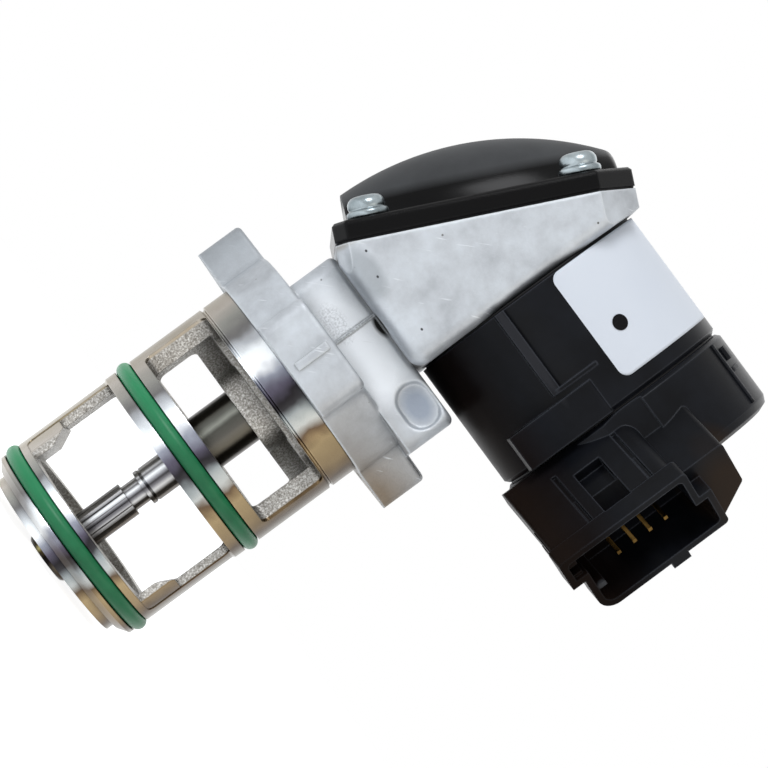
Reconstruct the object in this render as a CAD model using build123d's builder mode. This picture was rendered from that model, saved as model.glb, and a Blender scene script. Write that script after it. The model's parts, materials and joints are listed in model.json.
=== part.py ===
from build123d import *
import os
from math import atan2, cos, degrees, pi, radians, sin, sqrt, tan

# Electric exhaust-gas-recirculation valve, cartridge type. Millimetres.
# Origin: centre of the flange's mounting face, on the valve axis. +Z runs up the valve axis to
# the drive, +X runs along the motor, and the connector points to +X and -Y.

os.makedirs("parts", exist_ok=True)

# ---- clearances -----------------------------------------------------------------------------
SLIDE_GAP = 0.04        # stem in its bush, gears on their pins, radial
SEAT_GAP = 0.02         # pressed or seated pieces
ROLLER_GAP = 0.15       # roller in its groove, each side
SCREW_GAP = 0.3         # clearance holes, radial
PART_GAP = 0.3          # moving piece beside a fixed one
OVER = 1.0              # how far a cutting tool runs past the face it cuts

# ---- cage -----------------------------------------------------------------------------------
LAND_R = 26.3           # upper lands
LOWER_LAND_R = 25.9     # lower lands and posts
LAND_H = 6.7            # top land, below the flange
SPIGOT_R = 20.0
SPIGOT_H = 6.0
UPPER_TOP_Z = -7.7      # front upper window
REAR_TOP_Z = -14.3      # rear upper window
UPPER_BOTTOM_Z = -25.4
UPPER_WALL = 5.0        # upper land to the upper room
UPPER_HALF_ANGLE = 66.0
HUB_R = 11.0
HUB_Z = -14.4
TUBE_R = 7.1
TUBE_Z = -27.5
CEILING_Z = -9.0
O_RING_D = 4.0
O_RING_PROUD = 0.9
GROOVE_W = 4.2
UPPER_RING_Z = -30.7
MIDDLE_BOTTOM_Z = -35.6
LOWER_BOTTOM_Z = -59.4
LOWER_WALL = 2.6        # lower land to the lower room
LOWER_HALF_ANGLE = 72.0
GUSSET_HALF_ANGLE = 59.0
GUSSET_TOP_Z = -50.0
GUSSET_FULL_Z = -54.5
LOWER_RING_Z = -63.4
CAGE_BOTTOM_Z = -68.2
CAGE_CHAMFER = 2.4
WINDOW_CORNER_R = 2.0
POPPET_WALL = 5.7       # upper land to the bore that the upper poppet moves in
UPPER_SEAT_W = 3.1      # how far the upper seat stands into that bore
LOWER_SEAT_W = 5.9      # lower land to the bore of the lower seat
POPPET_ROOM = 1.6       # upper poppet in its bore, radial
SEAT_LAP = 2.0          # lower poppet over its seat
WAIST = 0.6             # shallow groove under the top land
GUSSET_W = 2.2          # how far a gusset stands in from its post
BUSH_R = 5.0
SEAL_R = 7.4
SEAL_T = 3.0

# ---- stem and poppets -----------------------------------------------------------------------
STEM_R = 3.4
UPPER_POPPET_T = 2.4
UPPER_SEAT_Z = -32.6    # underside of the upper seat
CLOSED_GAP = 0.05       # poppets beside their seats when closed
SLEEVE_R = 4.6
SLEEVE_Z = -43.7
HUB_RISE = 3.0          # small hub on the upper poppet
HUB_FOOT = 1.6
SCORE_Z = 1.0           # score line near the sleeve's end
SCORE_DEPTH = 0.35
FLUTED_HUB_R = 4.45
FLUTED_HUB_Z = -48.0
FLUTES = 12
LOWER_POPPET_T = 2.1
NUT_R = 6.5
NUT_H = 2.2
LIFT = 7.0
HEAD_HALF_X = 3.0       # square head that holds the roller pin
HEAD_HALF_Y = 3.6
HEAD_HALF_H = 3.0

# ---- flange, neck and gear case -------------------------------------------------------------
FLANGE_T = 12.3
FLANGE_EDGE_R = 1.2
FLANGE_R = 27.6
EAR_REACH = 38.0
EAR_HALF_W = 12.6
EAR_CORNER_R = 3.0
BOLT_PCD = 62.0
BOLT_HOLE_R = 3.3
NECK_LEFT_X = -17.2
BOSS_RIGHT_X = 31.2
NECK_HALF_Y = 20.0
BOSS_TOP_Z = 24.8
SPRING_ROOM_R = 14.5
WALL = 3.5
CASE_FLOOR_Z = 24.4     # underside of the gear case
CASE_HALF_Y = 30.0
CASE_BACK_X = 16.5      # motor face
CASE_DEPTH = 70.0       # longer than the case along its lean
NECK_CORNER_R = 3.5
NECK_EDGE_R = 1.6
BAR_HALF_W = 1.0        # raised bar on the front ear
BAR_BOTTOM_Z = 1.9
BAR_TOP_Z = 10.7
BAR_PROUD = 0.6
SEAM_HALF_W = 0.35      # parting line up the neck's front
SEAM_PROUD = 0.35
DISH_X = 23.2           # oval hollow in the side boss
DISH_Z = 20.0
DISH_L = 10.5
DISH_W = 7.5
DISH_DEPTH = 1.2
COVER_LEAN = 24.7       # cover plane from the vertical, degrees
COVER_FOOT_X = -16.6
COVER_FOOT_Z = 28.9
SIDE_LENGTH = 59.5      # straight side of the cover outline
TOP_REACH = 69.0
TOP_HALF_Y = 19.0
BOTTOM_REACH = -3.0
BOTTOM_HALF_Y = 26.0

# ---- cover ----------------------------------------------------------------------------------
GASKET_T = 0.6
PLATE_T = 4.6
PLATE_EDGE = 0.7        # chamfer round the plate
PLATE_FLOOR = 1.4       # plate left over the recess
DOME_H = 15.1           # above the plate's outer face
DOME_LONG_R = 75.0      # arch along the cover
DOME_CROSS_R = 20.0     # arch across it, at the top
DOME_TOP_U = 31.5
DOME_START = 1.2
DOME_END = 67.3
DOME_WALL = 2.4
DOME_EDGE_R = 3.0
RECESS_CORNER_R = 6.0   # recess in the plate, round the gears
RECESS_HALF_V = 17.0
SCREW_POCKET = 1.2      # room round a screw's head
SCREW_U = (6.0, 56.5)
SCREW_V = 23.5
COVER_SCREW_R = 2.5
COVER_HEAD_R = 5.1
COVER_HEAD_H = 4.6
COVER_SCREW_L = 9.5       # depth of the thread in its boss
SCREW_BOSS_R = 4.6

# ---- drive ----------------------------------------------------------------------------------
CAM_Z = 46.0
MOTOR_Z = 58.0
CAM_ANGLE = 90.0
GROOVE_START_R = 6.4
ROLLER_R = 2.5
ROLLER_W = 3.4
ROLLER_PIN_R = 1.3
CAM_PLATE_X = 4.0
CAM_PLATE_T = 5.0
GROOVE_DEPTH = 3.6
CAM_PIN_R = 2.0
CAM_BUSH_R = 2.8
SECTOR_MODULE = 0.75
SECTOR_TEETH = 48       # in a full circle
IDLER_PINION_TEETH = 12
WHEEL_MODULE = 0.6
WHEEL_TEETH = 36
MOTOR_PINION_TEETH = 10
WHEEL_T = 3.0
IDLER_PIN_R = 2.0
PRESSURE_ANGLE = 25.0
BACKLASH = 0.12
CLIP_T = 0.8

# ---- spring ---------------------------------------------------------------------------------
SPRING_R = 10.5
SPRING_WIRE_R = 0.9
SPRING_TURNS = 4.5
RETAINER_Z = 25.6
RETAINER_T = 1.6
RETAINER_R = 12.7
RETAINER_HUB_R = 5.4

# ---- motor and its housing ------------------------------------------------------------------
MOTOR_HOUSING_R = 31.0
HOUSING_WALL = 3.0
MOTOR_END_X = 50.9
MOTOR_WALL_T = 3.4
CAN_GAP = 0.3
CAN_T = 1.4
CAN_END_X = 48.6
MAGNET_T = 5.0
AIR_GAP = 0.7           # magnets to armature, radial
MAGNET_SPAN = 130.0
ARMATURE_L = 13.6
ARMATURE_SLOTS = 8
SHAFT_R = 2.5
BEARING_R = 8.0
BEARING_W = 4.6
COMMUTATOR_R = 7.0
COMMUTATOR_L = 4.8
HOLDER_T = 2.6
MOTOR_SCREW_CIRCLE_R = 16.5
MOTOR_SCREW_R = 2.0
MOTOR_SCREW_HEAD_R = 3.2
MOTOR_SCREW_HEAD_H = 2.6
MOTOR_SCREWS = 3
RIB_X_END = 40.2        # ribs on the housing's front
RIB_Z = 47.0
RIB_T = 2.4
POST_RIB_W = 1.0
POST_RIB_TOP_Z = 58.5
RIB_ROOT = 11.0         # how deep the ribs start inside the housing's skin
FAIRING_X = 41.8
FAIRING_PROUD = 0.6
FAIRING_TOP_Z = 55.0
FAIRING_BOTTOM_Z = 31.7
FAIRING_EDGE_R = 1.2
NOTCH = 0.9             # vee at the joint with the end cap
POCKET_X = 47.4         # small pocket on top, at the joint
POCKET_HALF_Y = 5.0
POCKET_DEPTH = 1.6

# ---- end cap and connector ------------------------------------------------------------------
CAP_LIP = 0.4           # end cap proud of the housing
CAP_GAP = 0.6           # joint between housing and cap, filled by the seal
CAP_END_X = 72.2
CAP_WALL = 3.2
SNAP_X = (55.8, 68.0)   # shallow slot of the snap fastener on top
SNAP_HALF_Y = 4.0
SNAP_DEPTH = 1.3
STEP_Z = 62.0           # flat on the cap's front, above the shell
STEP_DEPTH = 0.8
BOARD_T = 1.6
CONNECTOR_TURN = 48.0   # connector axis from +X towards -Y, degrees
MOUTH_X = 78.9
MOUTH_Y = -42.9
MOUTH_Z = 41.65
SHELL_HALF_W = 10.6
SHELL_HALF_H = 19.35
SHELL_KEY = 3.3         # step at both ends of the shell
SHELL_KEY_AT = -1.5
SHELL_WALL = 1.7
SHELL_L = 34.0
SOCKET_DEPTH = 15.0
PINS = 4
PIN_PITCH = 4.4
PIN_W = 1.0
PIN_SET_BACK = 3.5
PIN_L = 22.0
PIN_SIDE = 1.0
PIN_RISE = 1.0
MOUTH_R = 1.2
MOUTH_FAR_R = 4.5       # far bottom corner of the mouth
RIM_L = 5.5             # rim round the mouth
BODY_INSET = 0.9        # body behind the rim
BODY_TOP_R = 3.0        # rounded ridge along the body's near top edge
BACK_BLOCK = ((-5.6, -13.4), (11.6, -13.4), (14.5, 12.0), (15.2, 18.0), (8.1, 27.6), (-5.6, 27.6))
BACK_BLOCK_L = 5.5      # tall block behind the rim
BACK_BLOCK_DEPTH = 22.0
BLOCK_FROM_CAP = 8.0
LATCH_L = (5.2, 21.5)   # latch window in the near wall, back from the mouth
LATCH_Y = (-4.05, 3.15)
LATCH_DEPTH = 2.8
RAMP_L = 7.5
SLIT_Y = (-9.9, 7.0)    # two fine grooves beside the latch window
SLIT_W = 1.2
SLIT_DEPTH = 0.7
SLIT_L = (5.5, 25.0)
KEY_RIBS = ((-8.7, -6.5), (-4.0, -1.8), (3.1, 4.5))
KEY_RIB_H = 2.4
KEY_RIB_BACK = 1.2
TAB_Y = (2.8, 7.6)      # tab outside the far wall
TAB_PROUD = 1.9
TAB_L = 6.0

# ---- worked out from the sizes above --------------------------------------------------------
UPPER_BORE_R = LAND_R - UPPER_WALL
LOWER_BORE_R = LOWER_LAND_R - LOWER_WALL
POPPET_ROOM_R = LAND_R - POPPET_WALL
UPPER_SEAT_R = POPPET_ROOM_R - UPPER_SEAT_W
LOWER_SEAT_R = LOWER_LAND_R - LOWER_SEAT_W
UPPER_POPPET_R = POPPET_ROOM_R - POPPET_ROOM
LOWER_POPPET_R = LOWER_SEAT_R + SEAT_LAP
MOTOR_BORE_R = MOTOR_HOUSING_R - HOUSING_WALL
CAN_R = MOTOR_BORE_R - CAN_GAP
ARMATURE_R = CAN_R - CAN_T - MAGNET_T - AIR_GAP
CAP_R = MOTOR_HOUSING_R + CAP_LIP
rib_y = -MOTOR_HOUSING_R
rib_root_y = RIB_ROOT - MOTOR_HOUSING_R
fairing_y = -MOTOR_HOUSING_R - FAIRING_PROUD
step_y = STEP_DEPTH - CAP_R
lean = radians(COVER_LEAN)
cover_plane = Plane(origin=(COVER_FOOT_X, 0, COVER_FOOT_Z), x_dir=(sin(lean), 0, cos(lean)),
                    z_dir=(-cos(lean), 0, sin(lean)))
motor_profile = Plane(origin=(0, 0, MOTOR_Z), x_dir=(1, 0, 0), z_dir=(0, -1, 0))
motor_axis = Axis((0, 0, MOTOR_Z), (1, 0, 0))
turn = radians(CONNECTOR_TURN)
mouth_plane = Plane(origin=(MOUTH_X, MOUTH_Y, MOUTH_Z), x_dir=(sin(turn), cos(turn), 0),
                    z_dir=(cos(turn), -sin(turn), 0))

case_inner_x = CASE_BACK_X - WALL
floor_top_z = CASE_FLOOR_Z + WALL
roller_z = CAM_Z - GROOVE_START_R
wheel_x = CAM_PLATE_X + CAM_PLATE_T + 0.5
sector_r = SECTOR_MODULE * SECTOR_TEETH / 2
idler_pinion_r = SECTOR_MODULE * IDLER_PINION_TEETH / 2
wheel_r = WHEEL_MODULE * WHEEL_TEETH / 2
motor_pinion_r = WHEEL_MODULE * MOTOR_PINION_TEETH / 2
cam_to_idler = sector_r + idler_pinion_r
motor_to_idler = wheel_r + motor_pinion_r
cam_to_motor = MOTOR_Z - CAM_Z
idler_rise = (cam_to_idler**2 + cam_to_motor**2 - motor_to_idler**2) / (2 * cam_to_motor)
idler_y = sqrt(cam_to_idler**2 - idler_rise**2)
idler_z = CAM_Z + idler_rise
cam_line = degrees(atan2(idler_rise, idler_y))               # cam gear towards idler
motor_line = degrees(atan2(idler_z - MOTOR_Z, idler_y))      # motor towards idler

gasket_x = CASE_BACK_X + GASKET_T
housing_wall_x = gasket_x + MOTOR_WALL_T
can_front_x = housing_wall_x + CAN_T
cap_x = MOTOR_END_X + CAP_GAP
screw_spots = [(u, v) for u in SCREW_U for v in (-SCREW_V, SCREW_V)]
motor_screw_spots = [(MOTOR_SCREW_CIRCLE_R * cos(radians(90 + k * 360 / MOTOR_SCREWS)),
                      MOTOR_Z + MOTOR_SCREW_CIRCLE_R * sin(radians(90 + k * 360 / MOTOR_SCREWS)))
                     for k in range(MOTOR_SCREWS)]
o_ring_r = O_RING_D / 2


# ---- helpers --------------------------------------------------------------------------------
def turned(points, plane=Plane.XZ, axis=Axis.Z, mode=Mode.ADD):
    """Add the solid of revolution of a closed outline, drawn on a plane through the axis."""
    with BuildSketch(plane) as outline:
        with BuildLine():
            Polyline(*points, close=True)
        make_face()
    revolve(outline.sketch, axis=axis, mode=mode)


def plate(plane, points, thickness, mode=Mode.ADD):
    """Add a straight extrusion of a closed outline."""
    with BuildSketch(plane) as outline:
        with BuildLine():
            Polyline(*points, close=True)
        make_face()
    extrude(outline.sketch, amount=thickness, mode=mode)


def disc(plane, radius, thickness, centre=(0, 0), mode=Mode.ADD):
    """Add a round disc or pin that stands on a plane."""
    with BuildSketch(plane) as outline:
        with Locations(centre):
            Circle(radius)
    extrude(outline.sketch, amount=thickness, mode=mode)


def bore(plane, radius, depth, centre=(0, 0)):
    """Cut a round hole that starts at a plane."""
    disc(plane, radius, depth, centre, Mode.SUBTRACT)


def across(x):
    """The plane square to the motor at x, with local x along +Y and local y along +Z."""
    return Plane.YZ.offset(x)


def involute(angle):
    return tan(angle) - angle


def tooth_outline(module, teeth):
    """One gear tooth about the local x axis, from below the root to the tip."""
    pitch_r = module * teeth / 2
    base_r = pitch_r * cos(radians(PRESSURE_ANGLE))
    root_r = pitch_r - 1.1 * module
    tip_r = pitch_r + 0.85 * module
    half = (pi * module - BACKLASH) / (4 * pitch_r) + involute(radians(PRESSURE_ANGLE))
    radii = [max(base_r, root_r), (max(base_r, root_r) + pitch_r) / 2, pitch_r, (pitch_r + tip_r) / 2, tip_r]
    flank = []
    for r in radii:
        slope = tan_angle(base_r, r)
        flank.append((r, half - involute(slope)))
    inner = (root_r - 0.3 * module, flank[0][1])
    flank = [inner] + flank
    upper = [(r * cos(a), r * sin(a)) for r, a in flank]
    lower = [(x, -y) for x, y in reversed(upper)]
    return upper + lower


def tan_angle(base_r, r):
    """Pressure angle at radius r of an involute on the base circle."""
    return atan2(sqrt(max(r * r - base_r * base_r, 0)), base_r)


def toothed_disc(plane, centre, module, teeth, thickness, phase, count=None, blank=None):
    """Add a spur gear: its root disc (or a given blank radius) and count teeth from phase on."""
    root_r = module * teeth / 2 - 1.1 * module
    with BuildSketch(plane) as gear:
        with Locations(centre):
            Circle(blank or root_r)
            cut_teeth = count or teeth
            with PolarLocations(0, cut_teeth, start_angle=phase, angular_range=360 / teeth * cut_teeth,
                                endpoint=False):
                Polygon(*tooth_outline(module, teeth), align=None)
    extrude(gear.sketch, amount=thickness)


# ---- cage -----------------------------------------------------------------------------------
def window_tool(half_angle, inner_r, outer_r, top_z, bottom_z, facing):
    """A wedge with rounded corners that cuts one window; facing is its middle, in degrees."""
    with BuildPart() as tool:
        start = Plane(origin=(0, 0, 0), x_dir=(cos(radians(facing - half_angle)),
                                               sin(radians(facing - half_angle)), 0),
                      z_dir=(sin(radians(facing - half_angle)), -cos(radians(facing - half_angle)), 0))
        with BuildSketch(start):
            with Locations(((inner_r + outer_r) / 2, (top_z + bottom_z) / 2)):
                Rectangle(outer_r - inner_r, top_z - bottom_z)
        revolve(axis=Axis.Z, revolution_arc=2 * half_angle)
        ends = tool.edges().filter_by(GeomType.LINE).filter_by(Axis.Z, reverse=True)
        fillet(ends, WINDOW_CORNER_R)
    return tool.part


ring_half = GROOVE_W / 2
groove_r = LAND_R + O_RING_PROUD - O_RING_D
lower_groove_r = LOWER_LAND_R + O_RING_PROUD - O_RING_D
with BuildPart() as post_ring:
    turned([(LOWER_SEAT_R, GUSSET_TOP_Z + OVER), (LOWER_LAND_R - 0.2, GUSSET_TOP_Z + OVER),
            (LOWER_LAND_R - 0.2, LOWER_BOTTOM_Z), (LOWER_SEAT_R, LOWER_BOTTOM_Z)])

with BuildPart() as valve_cage:
    turned([(0, SPIGOT_H), (SPIGOT_R - SEAT_GAP, SPIGOT_H), (SPIGOT_R - SEAT_GAP, 0), (LAND_R, 0),
            (LAND_R, -LAND_H), (LAND_R - WAIST, -LAND_H - WAIST / 2),
            (LAND_R - WAIST, UPPER_TOP_Z + WAIST / 2), (LAND_R, UPPER_TOP_Z),
            (LAND_R, UPPER_RING_Z + ring_half), (groove_r, UPPER_RING_Z + ring_half),
            (groove_r, UPPER_RING_Z - ring_half), (LAND_R, UPPER_RING_Z - ring_half),
            (LAND_R, MIDDLE_BOTTOM_Z), (LOWER_LAND_R, MIDDLE_BOTTOM_Z - 0.5),
            (LOWER_LAND_R, LOWER_RING_Z + ring_half), (lower_groove_r, LOWER_RING_Z + ring_half),
            (lower_groove_r, LOWER_RING_Z - ring_half), (LOWER_LAND_R, LOWER_RING_Z - ring_half),
            (LOWER_LAND_R, CAGE_BOTTOM_Z + CAGE_CHAMFER * 0.7), (LOWER_LAND_R - CAGE_CHAMFER, CAGE_BOTTOM_Z),
            (0, CAGE_BOTTOM_Z)])
    # upper room, leaving the hub and the guide tube
    turned([(HUB_R, CEILING_Z), (UPPER_BORE_R, CEILING_Z), (UPPER_BORE_R, UPPER_BOTTOM_Z),
            (UPPER_SEAT_R, UPPER_BOTTOM_Z - 2), (UPPER_SEAT_R, UPPER_SEAT_Z),
            (POPPET_ROOM_R, UPPER_SEAT_Z), (POPPET_ROOM_R, MIDDLE_BOTTOM_Z),
            (LOWER_BORE_R, MIDDLE_BOTTOM_Z), (LOWER_BORE_R, LOWER_BOTTOM_Z),
            (LOWER_SEAT_R, LOWER_BOTTOM_Z), (LOWER_SEAT_R, CAGE_BOTTOM_Z - OVER), (0, CAGE_BOTTOM_Z - OVER),
            (0, TUBE_Z), (TUBE_R, TUBE_Z), (TUBE_R, HUB_Z), (HUB_R, HUB_Z)], mode=Mode.SUBTRACT)
    outside = LAND_R + OVER
    add(window_tool(UPPER_HALF_ANGLE, UPPER_BORE_R - OVER, outside, UPPER_TOP_Z, UPPER_BOTTOM_Z, -90),
        mode=Mode.SUBTRACT)
    add(window_tool(UPPER_HALF_ANGLE, UPPER_BORE_R - OVER, outside, REAR_TOP_Z, UPPER_BOTTOM_Z, 90),
        mode=Mode.SUBTRACT)
    for side in (-90, 90):
        lower_window = window_tool(LOWER_HALF_ANGLE, LOWER_BORE_R - OVER, outside, MIDDLE_BOTTOM_Z,
                                   LOWER_BOTTOM_Z, side)
        add(lower_window, mode=Mode.SUBTRACT)
    # gussets at the feet of the two lower posts
    gusset_x = LOWER_LAND_R * sin(radians(GUSSET_HALF_ANGLE))
    post_in_x = LOWER_BORE_R * sin(radians(LOWER_HALF_ANGLE))
    gusset_half_y = LOWER_LAND_R * cos(radians(GUSSET_HALF_ANGLE))
    for side in (-1, 1):
        with BuildSketch(Plane.XZ.offset(-gusset_half_y)) as gusset:
            with BuildLine():
                Polyline((side * LOWER_LAND_R, GUSSET_TOP_Z), (side * post_in_x, GUSSET_TOP_Z),
                         (side * (post_in_x - GUSSET_W), GUSSET_FULL_Z),
                         (side * (post_in_x - GUSSET_W), LOWER_BOTTOM_Z),
                         (side * LOWER_LAND_R, LOWER_BOTTOM_Z), close=True)
            make_face()
        gusset_body = extrude(gusset.sketch, amount=2 * gusset_half_y, mode=Mode.PRIVATE)
        add(gusset_body & post_ring.part)
    # bush bore and seal pocket
    bore(Plane.XY.offset(TUBE_Z - OVER), BUSH_R, SPIGOT_H - TUBE_Z + 2 * OVER)
    bore(Plane.XY.offset(SPIGOT_H - SEAL_T), SEAL_R, SEAL_T + OVER)

with BuildPart() as upper_o_ring:
    with BuildSketch(Plane.XZ):
        with Locations((LAND_R + O_RING_PROUD - o_ring_r, UPPER_RING_Z)):
            Circle(o_ring_r)
    revolve(axis=Axis.Z)

with BuildPart() as lower_o_ring:
    with BuildSketch(Plane.XZ):
        with Locations((LOWER_LAND_R + O_RING_PROUD - o_ring_r, LOWER_RING_Z)):
            Circle(o_ring_r)
    revolve(axis=Axis.Z)

with BuildPart() as guide_bush:
    disc(Plane.XY.offset(TUBE_Z), BUSH_R - SEAT_GAP, SPIGOT_H - SEAL_T - TUBE_Z)
    bore(Plane.XY.offset(TUBE_Z - OVER), STEM_R + SLIDE_GAP, SPIGOT_H - TUBE_Z + OVER)

with BuildPart() as stem_seal:
    disc(Plane.XY.offset(SPIGOT_H - SEAL_T), SEAL_R - SEAT_GAP, SEAL_T)
    bore(Plane.XY.offset(SPIGOT_H - SEAL_T - OVER), STEM_R + SLIDE_GAP, SEAL_T + 2 * OVER)

# ---- stem, poppets and what rides on them ---------------------------------------------------
upper_poppet_top = UPPER_SEAT_Z - CLOSED_GAP
lower_poppet_top = CAGE_BOTTOM_Z - CLOSED_GAP
lower_poppet_bottom = lower_poppet_top - LOWER_POPPET_T
nut_bottom = lower_poppet_bottom - NUT_H
with BuildPart() as valve_stem:
    disc(Plane.XY.offset(nut_bottom + 0.6), STEM_R, roller_z - HEAD_HALF_H - nut_bottom)
    with BuildSketch(Plane.XY.offset(roller_z - HEAD_HALF_H - 1.5)):
        RectangleRounded(2 * HEAD_HALF_X, 2 * HEAD_HALF_Y, 1.0)
    extrude(amount=2 * HEAD_HALF_H + 1.5)
    disc(across(-HEAD_HALF_X - OVER), ROLLER_PIN_R + SEAT_GAP, 2 * HEAD_HALF_X + 2 * OVER, (0, roller_z),
         mode=Mode.SUBTRACT)

with BuildPart() as upper_poppet:
    poppet_bottom = upper_poppet_top - UPPER_POPPET_T
    turned([(STEM_R, upper_poppet_top + HUB_RISE), (SLEEVE_R, upper_poppet_top + HUB_RISE),
            (SLEEVE_R + HUB_FOOT, upper_poppet_top), (UPPER_POPPET_R, upper_poppet_top),
            (UPPER_POPPET_R, poppet_bottom), (SLEEVE_R, poppet_bottom), (SLEEVE_R, SLEEVE_Z),
            (STEM_R, SLEEVE_Z)])
    # score line round the sleeve
    score = SLEEVE_Z + SCORE_Z
    turned([(SLEEVE_R - SCORE_DEPTH, score + SCORE_DEPTH), (SLEEVE_R, score + 2 * SCORE_DEPTH),
            (SLEEVE_R + OVER, score + SCORE_DEPTH), (SLEEVE_R, score)], mode=Mode.SUBTRACT)

with BuildPart() as lower_poppet:
    turned([(STEM_R, FLUTED_HUB_Z), (FLUTED_HUB_R, FLUTED_HUB_Z), (FLUTED_HUB_R, lower_poppet_top + 2.2),
            (FLUTED_HUB_R + 2, lower_poppet_top), (LOWER_POPPET_R, lower_poppet_top),
            (LOWER_POPPET_R, lower_poppet_bottom), (STEM_R, lower_poppet_bottom)])
    with BuildSketch(Plane.XY.offset(FLUTED_HUB_Z)):
        with PolarLocations(FLUTED_HUB_R + 0.35, FLUTES):
            Circle(0.7)
    extrude(amount=lower_poppet_top + 3 - FLUTED_HUB_Z, mode=Mode.SUBTRACT)

with BuildPart() as stem_nut:
    turned([(STEM_R, lower_poppet_bottom), (NUT_R, lower_poppet_bottom), (NUT_R, nut_bottom + 0.5),
            (NUT_R - 0.5, nut_bottom), (0, nut_bottom), (0, nut_bottom + 0.6), (STEM_R, nut_bottom + 0.6)])

with BuildPart() as spring_retainer:
    turned([(STEM_R, RETAINER_Z - RETAINER_T), (RETAINER_HUB_R, RETAINER_Z - RETAINER_T),
            (RETAINER_HUB_R, RETAINER_Z), (RETAINER_R, RETAINER_Z), (RETAINER_R, RETAINER_Z + RETAINER_T),
            (STEM_R, RETAINER_Z + RETAINER_T)])

roller_pin_end = CAM_PLATE_X + GROOVE_DEPTH - PART_GAP
roller_x = roller_pin_end - ROLLER_W
with BuildPart() as roller_pin:
    disc(across(-HEAD_HALF_X), ROLLER_PIN_R, roller_pin_end + HEAD_HALF_X, (0, roller_z))

with BuildPart() as cam_roller:
    disc(across(roller_x), ROLLER_R, ROLLER_W, (0, roller_z))
    bore(across(roller_x - OVER), ROLLER_PIN_R + SLIDE_GAP, ROLLER_W + 2 * OVER, (0, roller_z))

spring_bottom = SPIGOT_H
spring_length = RETAINER_Z - SPIGOT_H - 2 * SPRING_WIRE_R
with BuildPart() as return_spring:
    with BuildLine():
        coil = Helix(pitch=spring_length / SPRING_TURNS, height=spring_length, radius=SPRING_R,
                     center=(0, 0, spring_bottom + SPRING_WIRE_R))
    with BuildSketch(Plane(origin=coil @ 0, z_dir=coil % 0)):
        RegularPolygon(SPRING_WIRE_R, 6)
    sweep(is_frenet=True)

# ---- flange, neck and gear case -------------------------------------------------------------
def cover_outline(inset=0.0):
    """The cover's eight-sided outline on the cover plane, moved inwards by inset."""
    corners = [(BOTTOM_REACH, -BOTTOM_HALF_Y), (0, -CASE_HALF_Y), (SIDE_LENGTH, -CASE_HALF_Y),
               (TOP_REACH, -TOP_HALF_Y), (TOP_REACH, TOP_HALF_Y), (SIDE_LENGTH, CASE_HALF_Y),
               (0, CASE_HALF_Y), (BOTTOM_REACH, BOTTOM_HALF_Y)]
    with BuildSketch() as outline:
        with BuildLine():
            Polyline(*corners, close=True)
        make_face()
        if inset:
            offset(amount=-inset, kind=Kind.INTERSECTION)
    return outline.sketch


with BuildPart() as case_room:
    with BuildSketch(cover_plane.offset(OVER)):
        add(cover_outline(WALL))
    extrude(amount=-CASE_DEPTH)
    split(bisect_by=across(case_inner_x), keep=Keep.BOTTOM)
    split(bisect_by=Plane.XY.offset(floor_top_z), keep=Keep.TOP)
    for spot in screw_spots:
        bore(cover_plane.offset(-COVER_SCREW_L - 1.5), SCREW_BOSS_R, COVER_SCREW_L + 1.5, spot)

# flange: round centre and three square ears with cast edges
with BuildPart() as flange_plate:
    with BuildSketch() as flange:
        Circle(FLANGE_R)
        with PolarLocations(EAR_REACH / 2, 3, start_angle=-90):
            Rectangle(EAR_REACH, 2 * EAR_HALF_W)
        corners = flange.vertices().filter_by(lambda v: v.center().length > EAR_REACH)
        fillet(corners, EAR_CORNER_R)
        inner = flange.vertices().filter_by(lambda v: abs(v.center().length - FLANGE_R) < 0.01)
        fillet(inner, EAR_CORNER_R)
    extrude(amount=FLANGE_T)
    fillet(flange_plate.faces().sort_by(Axis.Z)[-1].edges(), FLANGE_EDGE_R)

# neck with its side boss
with BuildPart() as neck:
    with BuildSketch(Plane.XY.offset(FLANGE_T - 0.5)):
        with Locations(((NECK_LEFT_X + BOSS_RIGHT_X) / 2, 0)):
            RectangleRounded(BOSS_RIGHT_X - NECK_LEFT_X, 2 * NECK_HALF_Y, NECK_CORNER_R)
    extrude(amount=BOSS_TOP_Z - FLANGE_T + 0.5)
    fillet(neck.faces().sort_by(Axis.Z)[-1].edges(), NECK_EDGE_R)
    # oval hollow in the side boss, parting line up the front
    with BuildSketch(Plane.XZ.offset(NECK_HALF_Y - DISH_DEPTH)):
        with Locations((DISH_X, DISH_Z)):
            SlotOverall(DISH_L, DISH_W)
    extrude(amount=DISH_DEPTH + OVER, taper=-40, mode=Mode.SUBTRACT)
    with BuildSketch(Plane.XZ.offset(NECK_HALF_Y - OVER)):
        with Locations((0, (FLANGE_T + BOSS_TOP_Z) / 2)):
            Rectangle(2 * SEAM_HALF_W, BOSS_TOP_Z - FLANGE_T)
    extrude(amount=SEAM_PROUD + OVER)

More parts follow.
